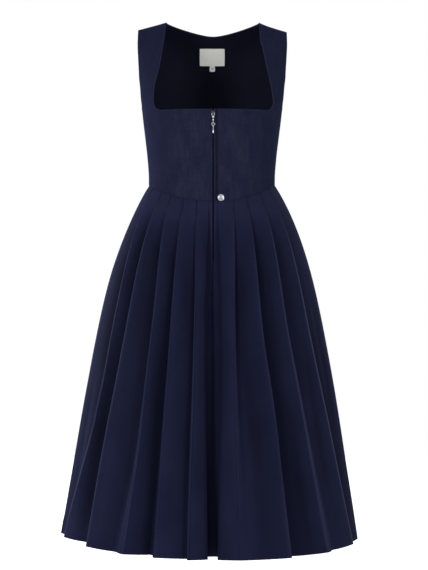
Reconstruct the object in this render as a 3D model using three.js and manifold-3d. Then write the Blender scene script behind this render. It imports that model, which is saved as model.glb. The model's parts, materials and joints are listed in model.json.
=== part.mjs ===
// A sleeveless dirndl, hollow and filled out as on a general figure: a fitted bodice with a square
// neckline and a zip down its front, and a skirt of deep pleats that flares to a level hem.
//
// Millimetres, +Z up, and the front faces -Y. Left and right are the wearer's, so left is +X.
// The origin lies midway between the points where the neckline meets the two shoulder seams.

import * as THREE from 'three';
import { mergeVertices } from 'three/addons/utils/BufferGeometryUtils.js';
import Module from 'manifold-3d';

const wasm = await Module();
wasm.setup();

// ---------------------------------------------------------------- driving sizes

const BODICE_WALL = 1.8;
const LINING_WALL = 1.0;
const SKIRT_WALL = 1.6;
const LABEL_WALL = 1.0;
const SEAM_GAP = 0.3;

const NECK_HALF = 101; // centre to the inner end of the shoulder seam
const SHOULDER_HALF = 162; // centre to its outer end
// How far its outer end lies below the inner one. Below 1, the bow makes the seam fall away sooner.
const RIGHT_SHOULDER = { drop: 16.8, bow: 0.92 };
const LEFT_SHOULDER = { drop: 21, bow: 0.78 };

const NECKLINE_Z = -200.5; // straight bottom edge of the front neckline
const NECKLINE_CORNER = 18; // radius of its two corners
const BACK_NECK_DROP = 22.5;
const BACK_NECK_POWER = 1.3;

const UNDERARM_Z = -190;
const ARMHOLE_MIDDLE_Z = -100; // the armhole is widest from here up
const ARMHOLE_ANGLE = 61.5; // of its edge round the figure, from the middle of the front or the back
const SIDE_ANGLE = 90;

const WAIST_FRONT_Z = -393.5;
const WAIST_SIDE_Z = -356;
const WAIST_BACK_Z = -365;
const WAIST_BOW = 1.75;
const WAIST_HALF = 137.3;
const WAIST_FRONT_DEPTH = 96;
const WAIST_BACK_DEPTH = 80;

const HEM_Z = -1113.5;
const HEM_TILT = 5.5; // the wearer's left side of the hem hangs so much lower, and the right side higher
const HEM_SAG = 5.5; // the same for the middle of the front
const HEM_HALF = 322.3;
const HEM_FRONT_DEPTH = 292;
const HEM_BACK_DEPTH = 285;

// The skirt springs out over the hips, then falls straight: so much of the flare is the spring, and it
// dies away over this share of the length.
const SPRING_SHARE = 0.35;
const SPRING_REACH = 0.17;

// Sections round the figure are superellipses: squarer at the chest, near ellipses at the hem.
const BODICE_POWER = 2.6;
const HEM_POWER = 2;
const POWER_REACH = 0.12;

// The front and back walls roll in to the shoulder seams over these heights.
const FRONT_ROLL = 130;
const BACK_ROLL = 95;

// The garment hangs a little towards the wearer's right, more so at the hem.
const LEAN_SHOULDER = 1.8;
const LEAN_WAIST = 3;
const LEAN_HEM = 7.7;

const ZIP_GAP = 2; // slit between the two front edges
const ZIP_TAPE_WIDTH = 24;
const ZIP_TAPE_WALL = 1;
const ZIP_END = 0.17; // share of the skirt's length that the zip runs down into it

// ---------------------------------------------------------------- tables

// Half width and depths of the figure by height. Above the underarm the armholes cut into the width.
const FIGURE = [
  { z: 0, half: 178.9, front: 70, back: 84 },
  { z: -50, half: 178.9, front: 80, back: 91 },
  { z: -81, half: 177, front: 88, back: 94.5 },
  { z: -100, half: 175.6, front: 92, back: 96 },
  { z: -125, half: 172.7, front: 97, back: 97.5 },
  { z: -150, half: 166, front: 101, back: 98.5 },
  { z: -168, half: 160.6, front: 104, back: 99 },
  { z: -190, half: 152.9, front: 107.5, back: 99 },
  { z: -212, half: 150.3, front: 111, back: 98 },
  { z: -256, half: 144.9, front: 112.6, back: 94.5 },
  { z: -299, half: 140, front: 108, back: 88.5 },
  { z: -343, half: 137.1, front: 101, back: 82.5 },
  { z: -394, half: 137.3, front: 96, back: 79 },
];

// Distance of the neckline's edges from the centre by height, above its corners.
const NECKLINE = [
  { z: 0, right: 101, left: 101 },
  { z: -40, right: 103.5, left: 101.6 },
  { z: -70, right: 107.4, left: 107.7 },
  { z: -94, right: 110.8, left: 112.4 },
  { z: -115, right: 114.9, left: 116.6 },
  { z: -136, right: 120.3, left: 122 },
  { z: -157, right: 124.6, left: 126.7 },
  { z: -182.5, right: 125.2, left: 130.5 },
];

// Rows of the wall above the neckline's level, as shares of its height there: those of a strap at the
// neckline and at the armhole, and those of the back at its middle and at the armhole. They crowd together
// round the neckline's corner, at the underarm, and where the wall rolls in to the shoulder seam.
const UNDERARM_SHARE = (UNDERARM_Z - NECKLINE_Z) / (-RIGHT_SHOULDER.drop - NECKLINE_Z);
const UPPER_ROWS = [
  { neckline: 0, armhole: 0, middle: 0 },
  { neckline: 0.007, armhole: UNDERARM_SHARE, middle: 0.12 },
  { neckline: 0.025, armhole: 0.073, middle: 0.22 },
  { neckline: 0.052, armhole: 0.13, middle: 0.34 },
  { neckline: 0.09, armhole: 0.228, middle: 0.46 },
  { neckline: 0.18, armhole: 0.375, middle: 0.58 },
  { neckline: 0.31, armhole: 0.543, middle: 0.69 },
  { neckline: 0.46, armhole: 0.696, middle: 0.79 },
  { neckline: 0.62, armhole: 0.804, middle: 0.87 },
  { neckline: 0.76, armhole: 0.891, middle: 0.93 },
  { neckline: 0.88, armhole: 0.95, middle: 0.96 },
  { neckline: 0.95, armhole: 0.98, middle: 0.98 },
  { neckline: 0.99, armhole: 0.996, middle: 0.996 },
  { neckline: 1, armhole: 1, middle: 1 },
];
const LAST_ROW = UPPER_ROWS.length - 1;

// Pleats of each quarter of the skirt, from the middle outwards. Each has an edge that faces the side seam:
// the angle of that edge round the figure at the waist, at mid height and at the hem, in degrees from the
// middle of the front or the back, and how far the cloth drops behind it there as it passes under.
const PLEATS = {
  frontRight: [
    { waist: 9, mid: 9, hem: 9, waistDrop: 1.5, midDrop: 10, hemDrop: 13 },
    { waist: 20.8, mid: 20.6, hem: 20.6, waistDrop: 1.5, midDrop: 15, hemDrop: 26 },
    { waist: 34.8, mid: 31.4, hem: 33.4, waistDrop: 1.6, midDrop: 17, hemDrop: 30 },
    { waist: 46, mid: 47.9, hem: 52.2, waistDrop: 1.8, midDrop: 22, hemDrop: 37 },
    { waist: 59, mid: 61.5, hem: 72.6, waistDrop: 1.5, midDrop: 9, hemDrop: 5 },
    { waist: 75, mid: 76.5, hem: 82, waistDrop: 1.2, midDrop: 5, hemDrop: 4 },
  ],
  frontLeft: [
    { waist: 12.8, mid: 11.6, hem: 10.2, waistDrop: 1.5, midDrop: 8, hemDrop: 1 },
    { waist: 25.3, mid: 24.8, hem: 29.7, waistDrop: 1.6, midDrop: 17, hemDrop: 18 },
    { waist: 42.2, mid: 41.8, hem: 48.9, waistDrop: 1.6, midDrop: 12, hemDrop: 10 },
    { waist: 57, mid: 62, hem: 69, waistDrop: 1.5, midDrop: 11, hemDrop: 15 },
    { waist: 74, mid: 78, hem: 81, waistDrop: 1.2, midDrop: 5, hemDrop: 6 },
  ],
  backLeft: [
    { waist: 10, mid: 11.8, hem: 10.5, waistDrop: 1.5, midDrop: 13, hemDrop: 24 },
    { waist: 23.5, mid: 24, hem: 27, waistDrop: 1.6, midDrop: 15, hemDrop: 22 },
    { waist: 38.5, mid: 41.5, hem: 41, waistDrop: 1.6, midDrop: 18, hemDrop: 30 },
    { waist: 56, mid: 56, hem: 60.5, waistDrop: 1.5, midDrop: 13, hemDrop: 18 },
    { waist: 73, mid: 74, hem: 77, waistDrop: 1.2, midDrop: 7, hemDrop: 9 },
  ],
  backRight: [
    { waist: 11.5, mid: 10.6, hem: 11.4, waistDrop: 1.5, midDrop: 12, hemDrop: 20 },
    { waist: 25.5, mid: 26.2, hem: 25, waistDrop: 1.6, midDrop: 17, hemDrop: 29 },
    { waist: 40, mid: 39.4, hem: 42.3, waistDrop: 1.6, midDrop: 14, hemDrop: 24 },
    { waist: 55, mid: 57, hem: 58.5, waistDrop: 1.5, midDrop: 17, hemDrop: 26 },
    { waist: 72, mid: 73, hem: 75, waistDrop: 1.3, midDrop: 8, hemDrop: 11 },
  ],
};

// The deep fold down the middle of the front and of the back: the angle of its lip on each side, the depth
// of its floor, and the share of that depth which the lip has already.
const MIDDLE_FOLDS = {
  frontRight: { waist: 1.8, mid: 3.6, hem: 1.9, waistDrop: 0, midDrop: 30, hemDrop: 44, lip: 0.28 },
  frontLeft: { waist: 1.8, mid: 3.9, hem: 1.6, waistDrop: 0, midDrop: 30, hemDrop: 44, lip: 0.16 },
  backLeft: { waist: 1.6, mid: 2.4, hem: 2.3, waistDrop: 1.2, midDrop: 16, hemDrop: 28, lip: 0.3 },
  backRight: { waist: 1.6, mid: 2.8, hem: 2, waistDrop: 1.2, midDrop: 16, hemDrop: 28, lip: 0.3 },
};
const FOLD_FLOOR = 0.55; // share of the lip's angle that the flat floor takes

// Columns across one pleat, from where the cloth comes out from under the last edge to its own edge: share
// of the way across, and share of the drop that is left.
const PLEAT_COLUMNS = [
  { across: 0.07, left: 1 },
  { across: 0.4, left: 0.66 },
  { across: 0.75, left: 0.2 },
  { across: 1, left: 0 },
];

const SKIRT_ROWS = [0, 0.03, 0.07, 0.12, 0.17, 0.26, 0.37, 0.51, 0.67, 0.84, 1];

// ---------------------------------------------------------------- materials

function cloth(name, color, roughness) {
  return new THREE.MeshStandardMaterial({ name, color, roughness, metalness: 0 });
}

function metal(name, color, roughness) {
  return new THREE.MeshStandardMaterial({ name, color, roughness, metalness: 1 });
}

const BODICE_CLOTH = cloth('bodice_cloth', 0x24273f, 0.9);
const SKIRT_CLOTH = cloth('skirt_cloth', 0x1f233b, 0.9);
const LINING_CLOTH = cloth('lining', 0x0d0e16, 0.75);
const LABEL_CLOTH = cloth('label', 0xd8d9d2, 0.8);
const TAPE_CLOTH = cloth('zip_tape', 0x14172a, 0.85);
const SILVER = metal('silver_metal', 0xc4c6c8, 0.3);
const BUTTON_METAL = metal('button_metal', 0xd2d3d8, 0.35);

// ---------------------------------------------------------------- small mathematics

const { clamp, degToRad, lerp, radToDeg } = THREE.MathUtils;
const signedPower = (value, power) => Math.sign(value) * Math.abs(value) ** power;
const steps = (count, from = 0, to = 1) =>
  Array.from({ length: count + 1 }, (_, i) => lerp(from, to, i / count));

// A smooth curve through a table's rows that never overshoots them: one column's value where another
// column, which rises or falls down the table, is at a given place.
function read(rows, key, at, column) {
  const run = Math.sign(rows[rows.length - 1][key] - rows[0][key]);
  const places = rows.map((row) => run * row[key]);
  const last = rows.length - 1;
  const place = clamp(run * at, places[0], places[last]);
  const i = Math.min(places.findLastIndex((p) => p <= place), last - 1);
  const slope = (j) => (rows[j + 1][column] - rows[j][column]) / (places[j + 1] - places[j]);
  const tangent = (j) => {
    if (j === 0) return slope(0);
    if (j === last) return slope(last - 1);
    const [before, after] = [slope(j - 1), slope(j)];
    return before * after <= 0 ? 0 : (2 * before * after) / (before + after);
  };
  const span = places[i + 1] - places[i];
  const s = (place - places[i]) / span;
  return (
    rows[i][column] * (1 + 2 * s) * (1 - s) ** 2 +
    rows[i + 1][column] * (3 - 2 * s) * s ** 2 +
    span * (tangent(i) * s * (1 - s) ** 2 - tangent(i + 1) * (1 - s) * s ** 2)
  );
}

// ---------------------------------------------------------------- the figure under the bodice

// Angles round the figure are in degrees from the middle of the front or the back, and grow to the right
// as seen from outside: towards +X on the front and towards -X on the back.
const FRONT = { sign: -1, depth: 'front', roll: FRONT_ROLL, waistZ: WAIST_FRONT_Z };
const BACK = { sign: 1, depth: 'back', roll: BACK_ROLL, waistZ: WAIST_BACK_Z };

const halfWidth = (z) => read(FIGURE, 'z', z, 'half');
const distanceAt = (angle, z) => halfWidth(z) * signedPower(Math.sin(degToRad(angle)), 2 / BODICE_POWER);
const angleAt = (x, z) => radToDeg(Math.asin(Math.min(1, x / halfWidth(z)) ** (BODICE_POWER / 2)));

const waistZ = (angle, face) =>
  lerp(face.waistZ, WAIST_SIDE_Z, Math.abs(Math.sin(degToRad(angle))) ** WAIST_BOW);

// Moves a point towards the wearer's right, by its share of the half width at its height.
function lean(point, half) {
  const amount =
    point.z > WAIST_SIDE_Z
      ? lerp(LEAN_SHOULDER, LEAN_WAIST, point.z / WAIST_SIDE_Z)
      : lerp(LEAN_WAIST, LEAN_HEM, (WAIST_SIDE_Z - point.z) / (WAIST_SIDE_Z - HEM_Z));
  point.x -= amount * Math.min(1, Math.abs(point.x) / half);
  return point;
}

// A point of the figure. The wall rolls in to y = 0 at the height of its crest, and past it if over is -1.
function figurePoint(face, angle, z, crest = 0, over = 1) {
  const rise = clamp((crest - z) / face.roll, 0, 1);
  const depth = read(FIGURE, 'z', z, face.depth) * Math.sqrt(rise * (2 - rise)) * over;
  const y = face.sign * depth * signedPower(Math.cos(degToRad(angle)), 2 / BODICE_POWER);
  return lean(new THREE.Vector3(-face.sign * distanceAt(angle, z), y, z), halfWidth(z));
}

// ---------------------------------------------------------------- cloth walls

// Outward normal of a surface given as a function of two parameters, which grow to the right and upwards
// as seen from outside.
function normalOf(surface, u, v) {
  const step = 1e-3;
  const across = surface(u + step, v).sub(surface(u - step, v));
  const upward = surface(u, v + step).sub(surface(u, v - step));
  return across.cross(upward).normalize();
}

// Rows of points for the two faces of a wall that lies on a surface, or inside it by a distance.
function gridOn(surface, columns, rows, thickness, inside = 0) {
  const faceAt = (depth) =>
    rows.map((v) => columns.map((u) => surface(u, v).addScaledVector(normalOf(surface, u, v), -depth)));
  return { outer: faceAt(inside), inner: faceAt(inside + thickness) };
}

// Moves the points of both faces of a grid that a test on their row, column and last column picks.
function shift(grid, picks, move) {
  for (const face of [grid.outer, grid.inner]) {
    face.forEach((row, j) => row.forEach((point, i) => picks(j, i, row.length - 1) && move(point, j)));
  }
}

const SAME_POINT = 0.01; // grids meet where their points agree to this

// Closes grids that share edges into one wall: outer faces, inner faces, and a rim along each free edge.
function wallOf(...grids) {
  const outer = [];
  const inner = [];
  const indexOf = (point, inside) => {
    const known = outer.findIndex((other) => other.distanceTo(point) < SAME_POINT);
    if (known >= 0) return known;
    outer.push(point);
    inner.push(inside);
    return outer.length - 1;
  };

  const faces = [];
  const freeEdges = new Map();
  const addFace = (...corners) => {
    faces.push(corners);
    corners.forEach((from, k) => {
      const to = corners[(k + 1) % 3];
      if (!freeEdges.delete(`${to} ${from}`)) freeEdges.set(`${from} ${to}`, [from, to]);
    });
  };
  for (const grid of grids) {
    const index = grid.outer.map((row, j) => row.map((point, i) => indexOf(point, grid.inner[j][i])));
    for (let j = 0; j + 1 < index.length; j += 1) {
      for (let i = 0; i + 1 < index[j].length; i += 1) {
        addFace(index[j][i], index[j][i + 1], index[j + 1][i + 1]);
        addFace(index[j][i], index[j + 1][i + 1], index[j + 1][i]);
      }
    }
  }

  const count = outer.length;
  const triangles = faces.flatMap(([a, b, c]) => [a, b, c, a + count, c + count, b + count]);
  for (const [from, to] of freeEdges.values()) {
    triangles.push(from, from + count, to, to, from + count, to + count);
  }
  const positions = [...outer, ...inner].flatMap((point) => point.toArray());
  const geometry = new THREE.BufferGeometry();
  geometry.setAttribute('position', new THREE.Float32BufferAttribute(positions, 3));
  geometry.setIndex(triangles);
  return geometry;
}

const dirndl = new THREE.Group();

function addPiece(name, geometry, material) {
  geometry.computeVertexNormals();
  const mesh = new THREE.Mesh(geometry, material);
  mesh.name = name;
  dirndl.add(mesh);
  return mesh;
}

// ---------------------------------------------------------------- bodice

// Height of the shoulder seam.
function shoulderZ(x) {
  const shoulder = x > 0 ? LEFT_SHOULDER : RIGHT_SHOULDER;
  const out = clamp((Math.abs(x) - NECK_HALF) / (SHOULDER_HALF - NECK_HALF), 0, 1);
  return -shoulder.drop * out ** shoulder.bow;
}

const backNeckZ = (x) => -BACK_NECK_DROP * (1 - (Math.abs(x) / NECK_HALF) ** BACK_NECK_POWER);

// Distance of the neckline's edge from the centre, with its bottom corner as a quarter circle.
function necklineX(side, z) {
  const centreZ = NECKLINE_Z + NECKLINE_CORNER;
  const below = clamp(centreZ - z, 0, NECKLINE_CORNER);
  const inset = NECKLINE_CORNER - Math.sqrt(NECKLINE_CORNER ** 2 - below ** 2);
  return read(NECKLINE, 'z', Math.max(z, centreZ), side > 0 ? 'left' : 'right') - inset;
}

// Angle of the armhole's edge: straight down from the shoulder, then a quarter ellipse to the underarm.
function armholeAngle(z) {
  const below = clamp((ARMHOLE_MIDDLE_Z - z) / (ARMHOLE_MIDDLE_Z - UNDERARM_Z), 0, 1);
  return SIDE_ANGLE - (SIDE_ANGLE - ARMHOLE_ANGLE) * Math.sqrt(1 - below ** 2);
}

// Share of the height above the neckline's level at a row, which may lie between two of the table's, or
// just past the last one. The blend is from one column to the other.
function upperShare(row, from, to, blend) {
  const inside = row > LAST_ROW ? 2 * LAST_ROW - row : Math.max(row, 0);
  const i = Math.min(Math.floor(inside), LAST_ROW - 1);
  const [low, high] = [UPPER_ROWS[i], UPPER_ROWS[i + 1]].map((r) => lerp(r[from], r[to], blend));
  return lerp(low, high, inside - i);
}

// Front and back below the neckline's level: u is the angle, and v runs up from the waist seam.
const lowerSurface = (face) => (u, v) =>
  figurePoint(face, u, lerp(waistZ(u, face) + SEAM_GAP / 2, NECKLINE_Z, v));

// A strap: u runs across it, to the right, and v counts the rows up to the shoulder seam.
const strapSurface = (side) => (u, v) => {
  const out = side > 0 ? u : 1 - u;
  const top = shoulderZ(side * distanceAt(lerp(angleAt(NECK_HALF, 0), ARMHOLE_ANGLE, out), 0));
  const z = lerp(NECKLINE_Z, top, upperShare(v, 'neckline', 'armhole', out));
  const angle = lerp(angleAt(necklineX(side, z), z), armholeAngle(z), out);
  return figurePoint(FRONT, side * angle, z, top, v > LAST_ROW ? -1 : 1);
};

// The back above that level: u runs from armhole to armhole, to the right, and v counts the rows.
const backSurface = (u, v) => {
  const topX = -distanceAt(u * ARMHOLE_ANGLE, 0);
  const top = Math.abs(topX) < NECK_HALF ? backNeckZ(topX) : shoulderZ(topX);
  const z = lerp(NECKLINE_Z, top, upperShare(v, 'middle', 'armhole', u ** 2));
  return figurePoint(BACK, u * armholeAngle(z), z, Math.max(top, shoulderZ(topX)), v > LAST_ROW ? -1 : 1);
};

const NECK_SHARE = angleAt(NECK_HALF, 0) / ARMHOLE_ANGLE;
const upperRows = UPPER_ROWS.map((_, row) => row);
const lowerRows = steps(7);

// Seams keep half their gap on each side.
const nearSeam = SEAM_GAP / 2;

function bodiceFront(side) {
  const corner = angleAt(necklineX(side, NECKLINE_Z), NECKLINE_Z);
  const middle = steps(6, 0, corner);
  const outside = steps(6, corner, SIDE_ANGLE);
  const columns = [...middle, ...outside.slice(1)].map((angle) => side * angle).sort((a, b) => a - b);
  const strapColumns = outside.map((angle) => (angle - corner) / (SIDE_ANGLE - corner));

  const lower = gridOn(lowerSurface(FRONT), columns, lowerRows, BODICE_WALL);
  const upper = gridOn(strapSurface(side), strapColumns, upperRows, BODICE_WALL);
  const sideColumn = (last) => (side > 0 ? last : 0);
  const onSideSeam = (j, i, last) => i === sideColumn(last);
  const towardsFront = (point) => (point.y -= nearSeam);
  shift(lower, onSideSeam, towardsFront);
  shift(upper, (j, i, last) => onSideSeam(j, i, last) && j < 2, towardsFront);
  shift(upper, (j) => j === LAST_ROW, towardsFront);
  const onMiddle = (j, i, last) => i === last - sideColumn(last);
  shift(lower, onMiddle, (point) => (point.x += (side * ZIP_GAP) / 2));
  return wallOf(lower, upper);
}

// The back and its lining have the same columns and rows, and the lining leaves out the outermost ones.
const EDGE_SHARE = 0.985;
const backHalf = [...steps(4, 0, NECK_SHARE), ...steps(4, NECK_SHARE, 1).slice(1, -1), EDGE_SHARE, 1];
const backColumns = [...backHalf.slice(1).map((u) => -u).reverse(), ...backHalf];
const LINING_INSIDE = BODICE_WALL + SEAM_GAP;

function bodiceBack() {
  const angles = backColumns.map((u) => u * SIDE_ANGLE);
  const lower = gridOn(lowerSurface(BACK), angles, lowerRows, BODICE_WALL);
  const upper = gridOn(backSurface, backColumns, upperRows, BODICE_WALL);
  const towardsBack = (point) => (point.y += nearSeam);
  const onSideSeam = (j, i, last) => i === 0 || i === last;
  shift(lower, onSideSeam, towardsBack);
  shift(upper, (j, i, last) => onSideSeam(j, i, last) && j < 2, towardsBack);
  shift(upper, (j, i) => j === LAST_ROW && Math.abs(backColumns[i]) >= NECK_SHARE, towardsBack);
  return wallOf(lower, upper);
}

function backLining() {
  const columns = backColumns.slice(1, -1);
  const angles = columns.map((u) => u * SIDE_ANGLE);
  return wallOf(
    gridOn(lowerSurface(BACK), angles, lowerRows, LINING_WALL, LINING_INSIDE),
    gridOn(backSurface, columns, upperRows.slice(0, -1), LINING_WALL, LINING_INSIDE)
  );
}

addPiece('bodice_front_left', bodiceFront(1), BODICE_CLOTH);
addPiece('bodice_front_right', bodiceFront(-1), BODICE_CLOTH);
addPiece('bodice_back', bodiceBack(), BODICE_CLOTH);
addPiece('back_lining', backLining(), LINING_CLOTH);

// ---------------------------------------------------------------- label and size tab

const LABEL_X = -2;
const LABEL_TOP_Z = -43.2;
const LABEL_BOTTOM_Z = -80.5;
const LABEL_WIDTH = 55.4;
const LABEL_GAP = 1.15; // more than at a seam, because the lining's facets are larger than the label's
const TAB_WIDTH = 11;
const TAB_LENGTH = 12.6;

// A flat piece on the back lining: u runs across it, to the right as seen from behind, and v up it.
function onLining(width, bottomZ, topZ) {
  const surface = (u, v) => {
    const z = lerp(bottomZ, topZ, v);
    const x = LABEL_X + (0.5 - u) * width;
    return figurePoint(BACK, -Math.sign(x) * angleAt(Math.abs(x), z), z);
  };
  const inside = LINING_INSIDE + LINING_WALL + LABEL_GAP;
  return wallOf(gridOn(surface, steps(6), steps(3), LABEL_WALL, inside));
}

addPiece('neck_label', onLining(LABEL_WIDTH, LABEL_BOTTOM_Z, LABEL_TOP_Z), LABEL_CLOTH);
const TAB_TOP_Z = LABEL_BOTTOM_Z - SEAM_GAP;
addPiece('size_tab', onLining(TAB_WIDTH, TAB_TOP_Z - TAB_LENGTH, TAB_TOP_Z), LABEL_CLOTH);

// ---------------------------------------------------------------- skirt

const MID_HEIGHT = 0.33; // share of the skirt's length at which the pleats' mid values hold
const ANGLE_STEP = 0.01; // degrees, for the direction of the round section

// Share of the flare from the waist to the hem that the skirt has at a share of its length.
const flare = (v) => (1 - SPRING_SHARE) * v + SPRING_SHARE * (1 - Math.exp(-v / SPRING_REACH));

// The angle or the drop of a row of the pleat tables at a share of the skirt's length.
const pleatAngle = (row, v) =>
  read([{ v: 0, is: row.waist }, { v: MID_HEIGHT, is: row.mid }, { v: 1, is: row.hem }], 'v', v, 'is');
const pleatDrop = (row, v) =>
  pleatAngle({ waist: row.waistDrop, mid: row.midDrop, hem: row.hemDrop }, v);

function hemZ(angle, face) {
  const a = degToRad(angle);
  const sag = face === FRONT ? HEM_SAG * Math.cos(a) ** 2 : 0;
  return HEM_Z + HEM_TILT * face.sign * Math.sin(a) - sag;
}

// A point of the skirt, dropped inwards from its round section.
function skirtPoint(face, angle, v, drop) {
  const hemDepth = face === FRONT ? HEM_FRONT_DEPTH : HEM_BACK_DEPTH;
  const waistDepth = face === FRONT ? WAIST_FRONT_DEPTH : WAIST_BACK_DEPTH;
  const half = lerp(WAIST_HALF, HEM_HALF, flare(v));
  const depth = lerp(waistDepth, hemDepth, flare(v));
  const power = 2 / lerp(HEM_POWER, BODICE_POWER, Math.exp(-v / POWER_REACH));
  const section = (degrees) => {
    const a = degToRad(degrees);
    const x = -face.sign * half * signedPower(Math.sin(a), power);
    return new THREE.Vector3(x, face.sign * depth * signedPower(Math.cos(a), power), 0);
  };
  const across = section(angle + ANGLE_STEP).sub(section(angle - ANGLE_STEP)).normalize();
  const point = section(angle).add(new THREE.Vector3(-across.y, across.x, 0).multiplyScalar(drop));
  point.z = lerp(waistZ(angle, face) - nearSeam, hemZ(angle, face), v);
  return lean(point, half);
}

// Columns of a quarter of the skirt at a share of its length, from the middle out to the side seam.
function quarterColumns(pleats, fold, v) {
  const lip = pleatAngle(fold, v);
  const floor = pleatDrop(fold, v);
  const columns = [
    { angle: 0, drop: floor },
    { angle: lip * FOLD_FLOOR, drop: floor },
    { angle: lip, drop: floor * fold.lip },
  ];
  let from = lip;
  let drop = floor * fold.lip;
  const edges = pleats.map((pleat) => ({ at: pleatAngle(pleat, v), drop: pleatDrop(pleat, v) }));
  edges.push({ at: SIDE_ANGLE, drop: 0 });
  edges.forEach((edge, k) => {
    for (const column of PLEAT_COLUMNS.slice(k === 0 ? 1 : 0)) {
      columns.push({ angle: lerp(from, edge.at, column.across), drop: drop * column.left });
    }
    from = edge.at;
    drop = edge.drop;
  });
  return columns;
}

// The whole skirt as one ring of columns, from the middle of the front round by the wearer's left.
const QUARTERS = [
  { name: 'frontLeft', face: FRONT, turn: 1 },
  { name: 'backLeft', face: BACK, turn: -1 },
  { name: 'backRight', face: BACK, turn: 1 },
  { name: 'frontRight', face: FRONT, turn: -1 },
];

function skirtRing(v) {
  return QUARTERS.flatMap(({ name, face, turn }) => {
    const columns = quarterColumns(PLEATS[name], MIDDLE_FOLDS[name], v);
    const points = columns.map(({ angle, drop }) => skirtPoint(face, turn * angle, v, drop));
    return turn > 0 ? points.slice(0, -1) : points.reverse().slice(0, -1);
  });
}

// Rows run up from the hem, as on the other walls. The inner face lies behind the outer one along the mean
// of the directions that the cloth around each point faces.
function skirtFaces() {
  const outer = [...SKIRT_ROWS].reverse().map(skirtRing);
  const count = outer[0].length;
  const at = (j, i) => outer[j][(i + count) % count];
  const facing = (j, i) => {
    const across = at(j, i + 1).clone().sub(at(j, i));
    const upward = at(j + 1, i).clone().sub(at(j, i));
    return across.cross(upward).normalize();
  };
  const inner = outer.map((row, j) =>
    row.map((point, i) => {
      const rows = [j - 1, j].filter((k) => k >= 0 && k + 1 < outer.length);
      const mean = new THREE.Vector3();
      for (const k of rows) mean.add(facing(k, i - 1)).add(facing(k, i));
      return point.clone().addScaledVector(mean.normalize(), -SKIRT_WALL);
    })
  );
  return { outer, inner };
}

const skirt = skirtFaces();
const [frontLeftCount, backLeftCount, backRightCount, frontRightCount] = QUARTERS.map(
  ({ name }) => quarterColumns(PLEATS[name], MIDDLE_FOLDS[name], 0).length - 1
);
const leftSide = frontLeftCount;
const rightSide = leftSide + backLeftCount + backRightCount;
const wholeRing = rightSide + frontRightCount;

// A panel of the skirt between two columns of the ring.
function skirtPanel(from, to) {
  const cut = (face) =>
    face.map((row) => steps(to - from, from, to).map((i) => row[Math.round(i) % row.length].clone()));
  return { outer: cut(skirt.outer), inner: cut(skirt.inner) };
}

// Half of the front. Its middle edge leaves the slit for the zip, and closes below it.
function skirtFront(side, from, to) {
  const panel = skirtPanel(from, to);
  const middleColumn = (last) => (side > 0 ? 0 : last);
  const firstOpenRow = SKIRT_ROWS.filter((v) => v > ZIP_END).length;
  const halfGap = (row) => (row < firstOpenRow ? nearSeam : ZIP_GAP / 2);
  shift(panel, (j, i, last) => i === middleColumn(last), (point, j) => (point.x += side * halfGap(j)));
  shift(panel, (j, i, last) => i === last - middleColumn(last), (point) => (point.y -= nearSeam));
  return wallOf(panel);
}

function skirtBack() {
  const panel = skirtPanel(leftSide, rightSide);
  shift(panel, (j, i, last) => i === 0 || i === last, (p) => (p.y += nearSeam));
  return wallOf(panel);
}

addPiece('skirt_front_left', skirtFront(1, 0, leftSide), SKIRT_CLOTH);
addPiece('skirt_front_right', skirtFront(-1, rightSide, wholeRing), SKIRT_CLOTH);
addPiece('skirt_back', skirtBack(), SKIRT_CLOTH);

// ---------------------------------------------------------------- zip

// The line of the closure: v runs from its lower end up to the waist at 0 and on to the neckline at 1.
function closureLine(v) {
  if (v >= 0) return figurePoint(FRONT, 0, lerp(WAIST_FRONT_Z, NECKLINE_Z, v));
  const down = Math.min(-v, 1) * ZIP_END;
  return skirtPoint(FRONT, 0, down, pleatDrop(MIDDLE_FOLDS.frontLeft, down));
}

const TAPE_SET_BACK = 0.4; // more than the seam gap, because the fronts curve away from the middle
const closureSurface = (u, v) => closureLine(v).setX((u - 0.5) * ZIP_TAPE_WIDTH);
const tapeSkirtRows = SKIRT_ROWS.filter((v) => v <= ZIP_END).map((v) => -v / ZIP_END);
const tapeRows = [...tapeSkirtRows.reverse(), ...lowerRows.slice(1)];
const tapeInside = BODICE_WALL + SEAM_GAP + TAPE_SET_BACK;
const tapeGrid = gridOn(closureSurface, [0, 1], tapeRows, ZIP_TAPE_WALL, tapeInside);
addPiece('zip_tape', wallOf(tapeGrid), TAPE_CLOTH);

// Solids joined and cut.
function toManifold(geometry) {
  const bare = geometry.clone();
  bare.deleteAttribute('normal');
  bare.deleteAttribute('uv');
  const merged = mergeVertices(bare, 1e-4);
  const vertProperties = Float32Array.from(merged.attributes.position.array);
  const triVerts = Uint32Array.from(merged.index.array);
  return new wasm.Manifold(new wasm.Mesh({ numProp: 3, vertProperties, triVerts }));
}

function fromManifold(solid) {
  const { vertProperties, triVerts } = solid.getMesh();
  const geometry = new THREE.BufferGeometry();
  geometry.setAttribute('position', new THREE.Float32BufferAttribute(vertProperties, 3));
  geometry.setIndex(Array.from(triVerts));
  return geometry;
}

const joined = (...geometries) => geometries.map(toManifold).reduce((all, solid) => all.add(solid));

// A bar with round ends, upright and flat in the x-z plane: its half width, and its top and bottom.
function stadium(half, top, bottom) {
  const shape = new THREE.Shape();
  shape.absarc(0, top - half, half, 0, Math.PI);
  shape.absarc(0, bottom + half, half, Math.PI, 2 * Math.PI);
  return shape;
}

// Extrudes an outline drawn in x and z, centred on a plane y.
function plate(shape, thickness, y, curveSegments = 8) {
  const settings = { depth: thickness, bevelEnabled: false, curveSegments };
  return new THREE.ExtrudeGeometry(shape, settings).rotateX(Math.PI / 2).translate(0, y + thickness / 2, 0);
}

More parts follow.
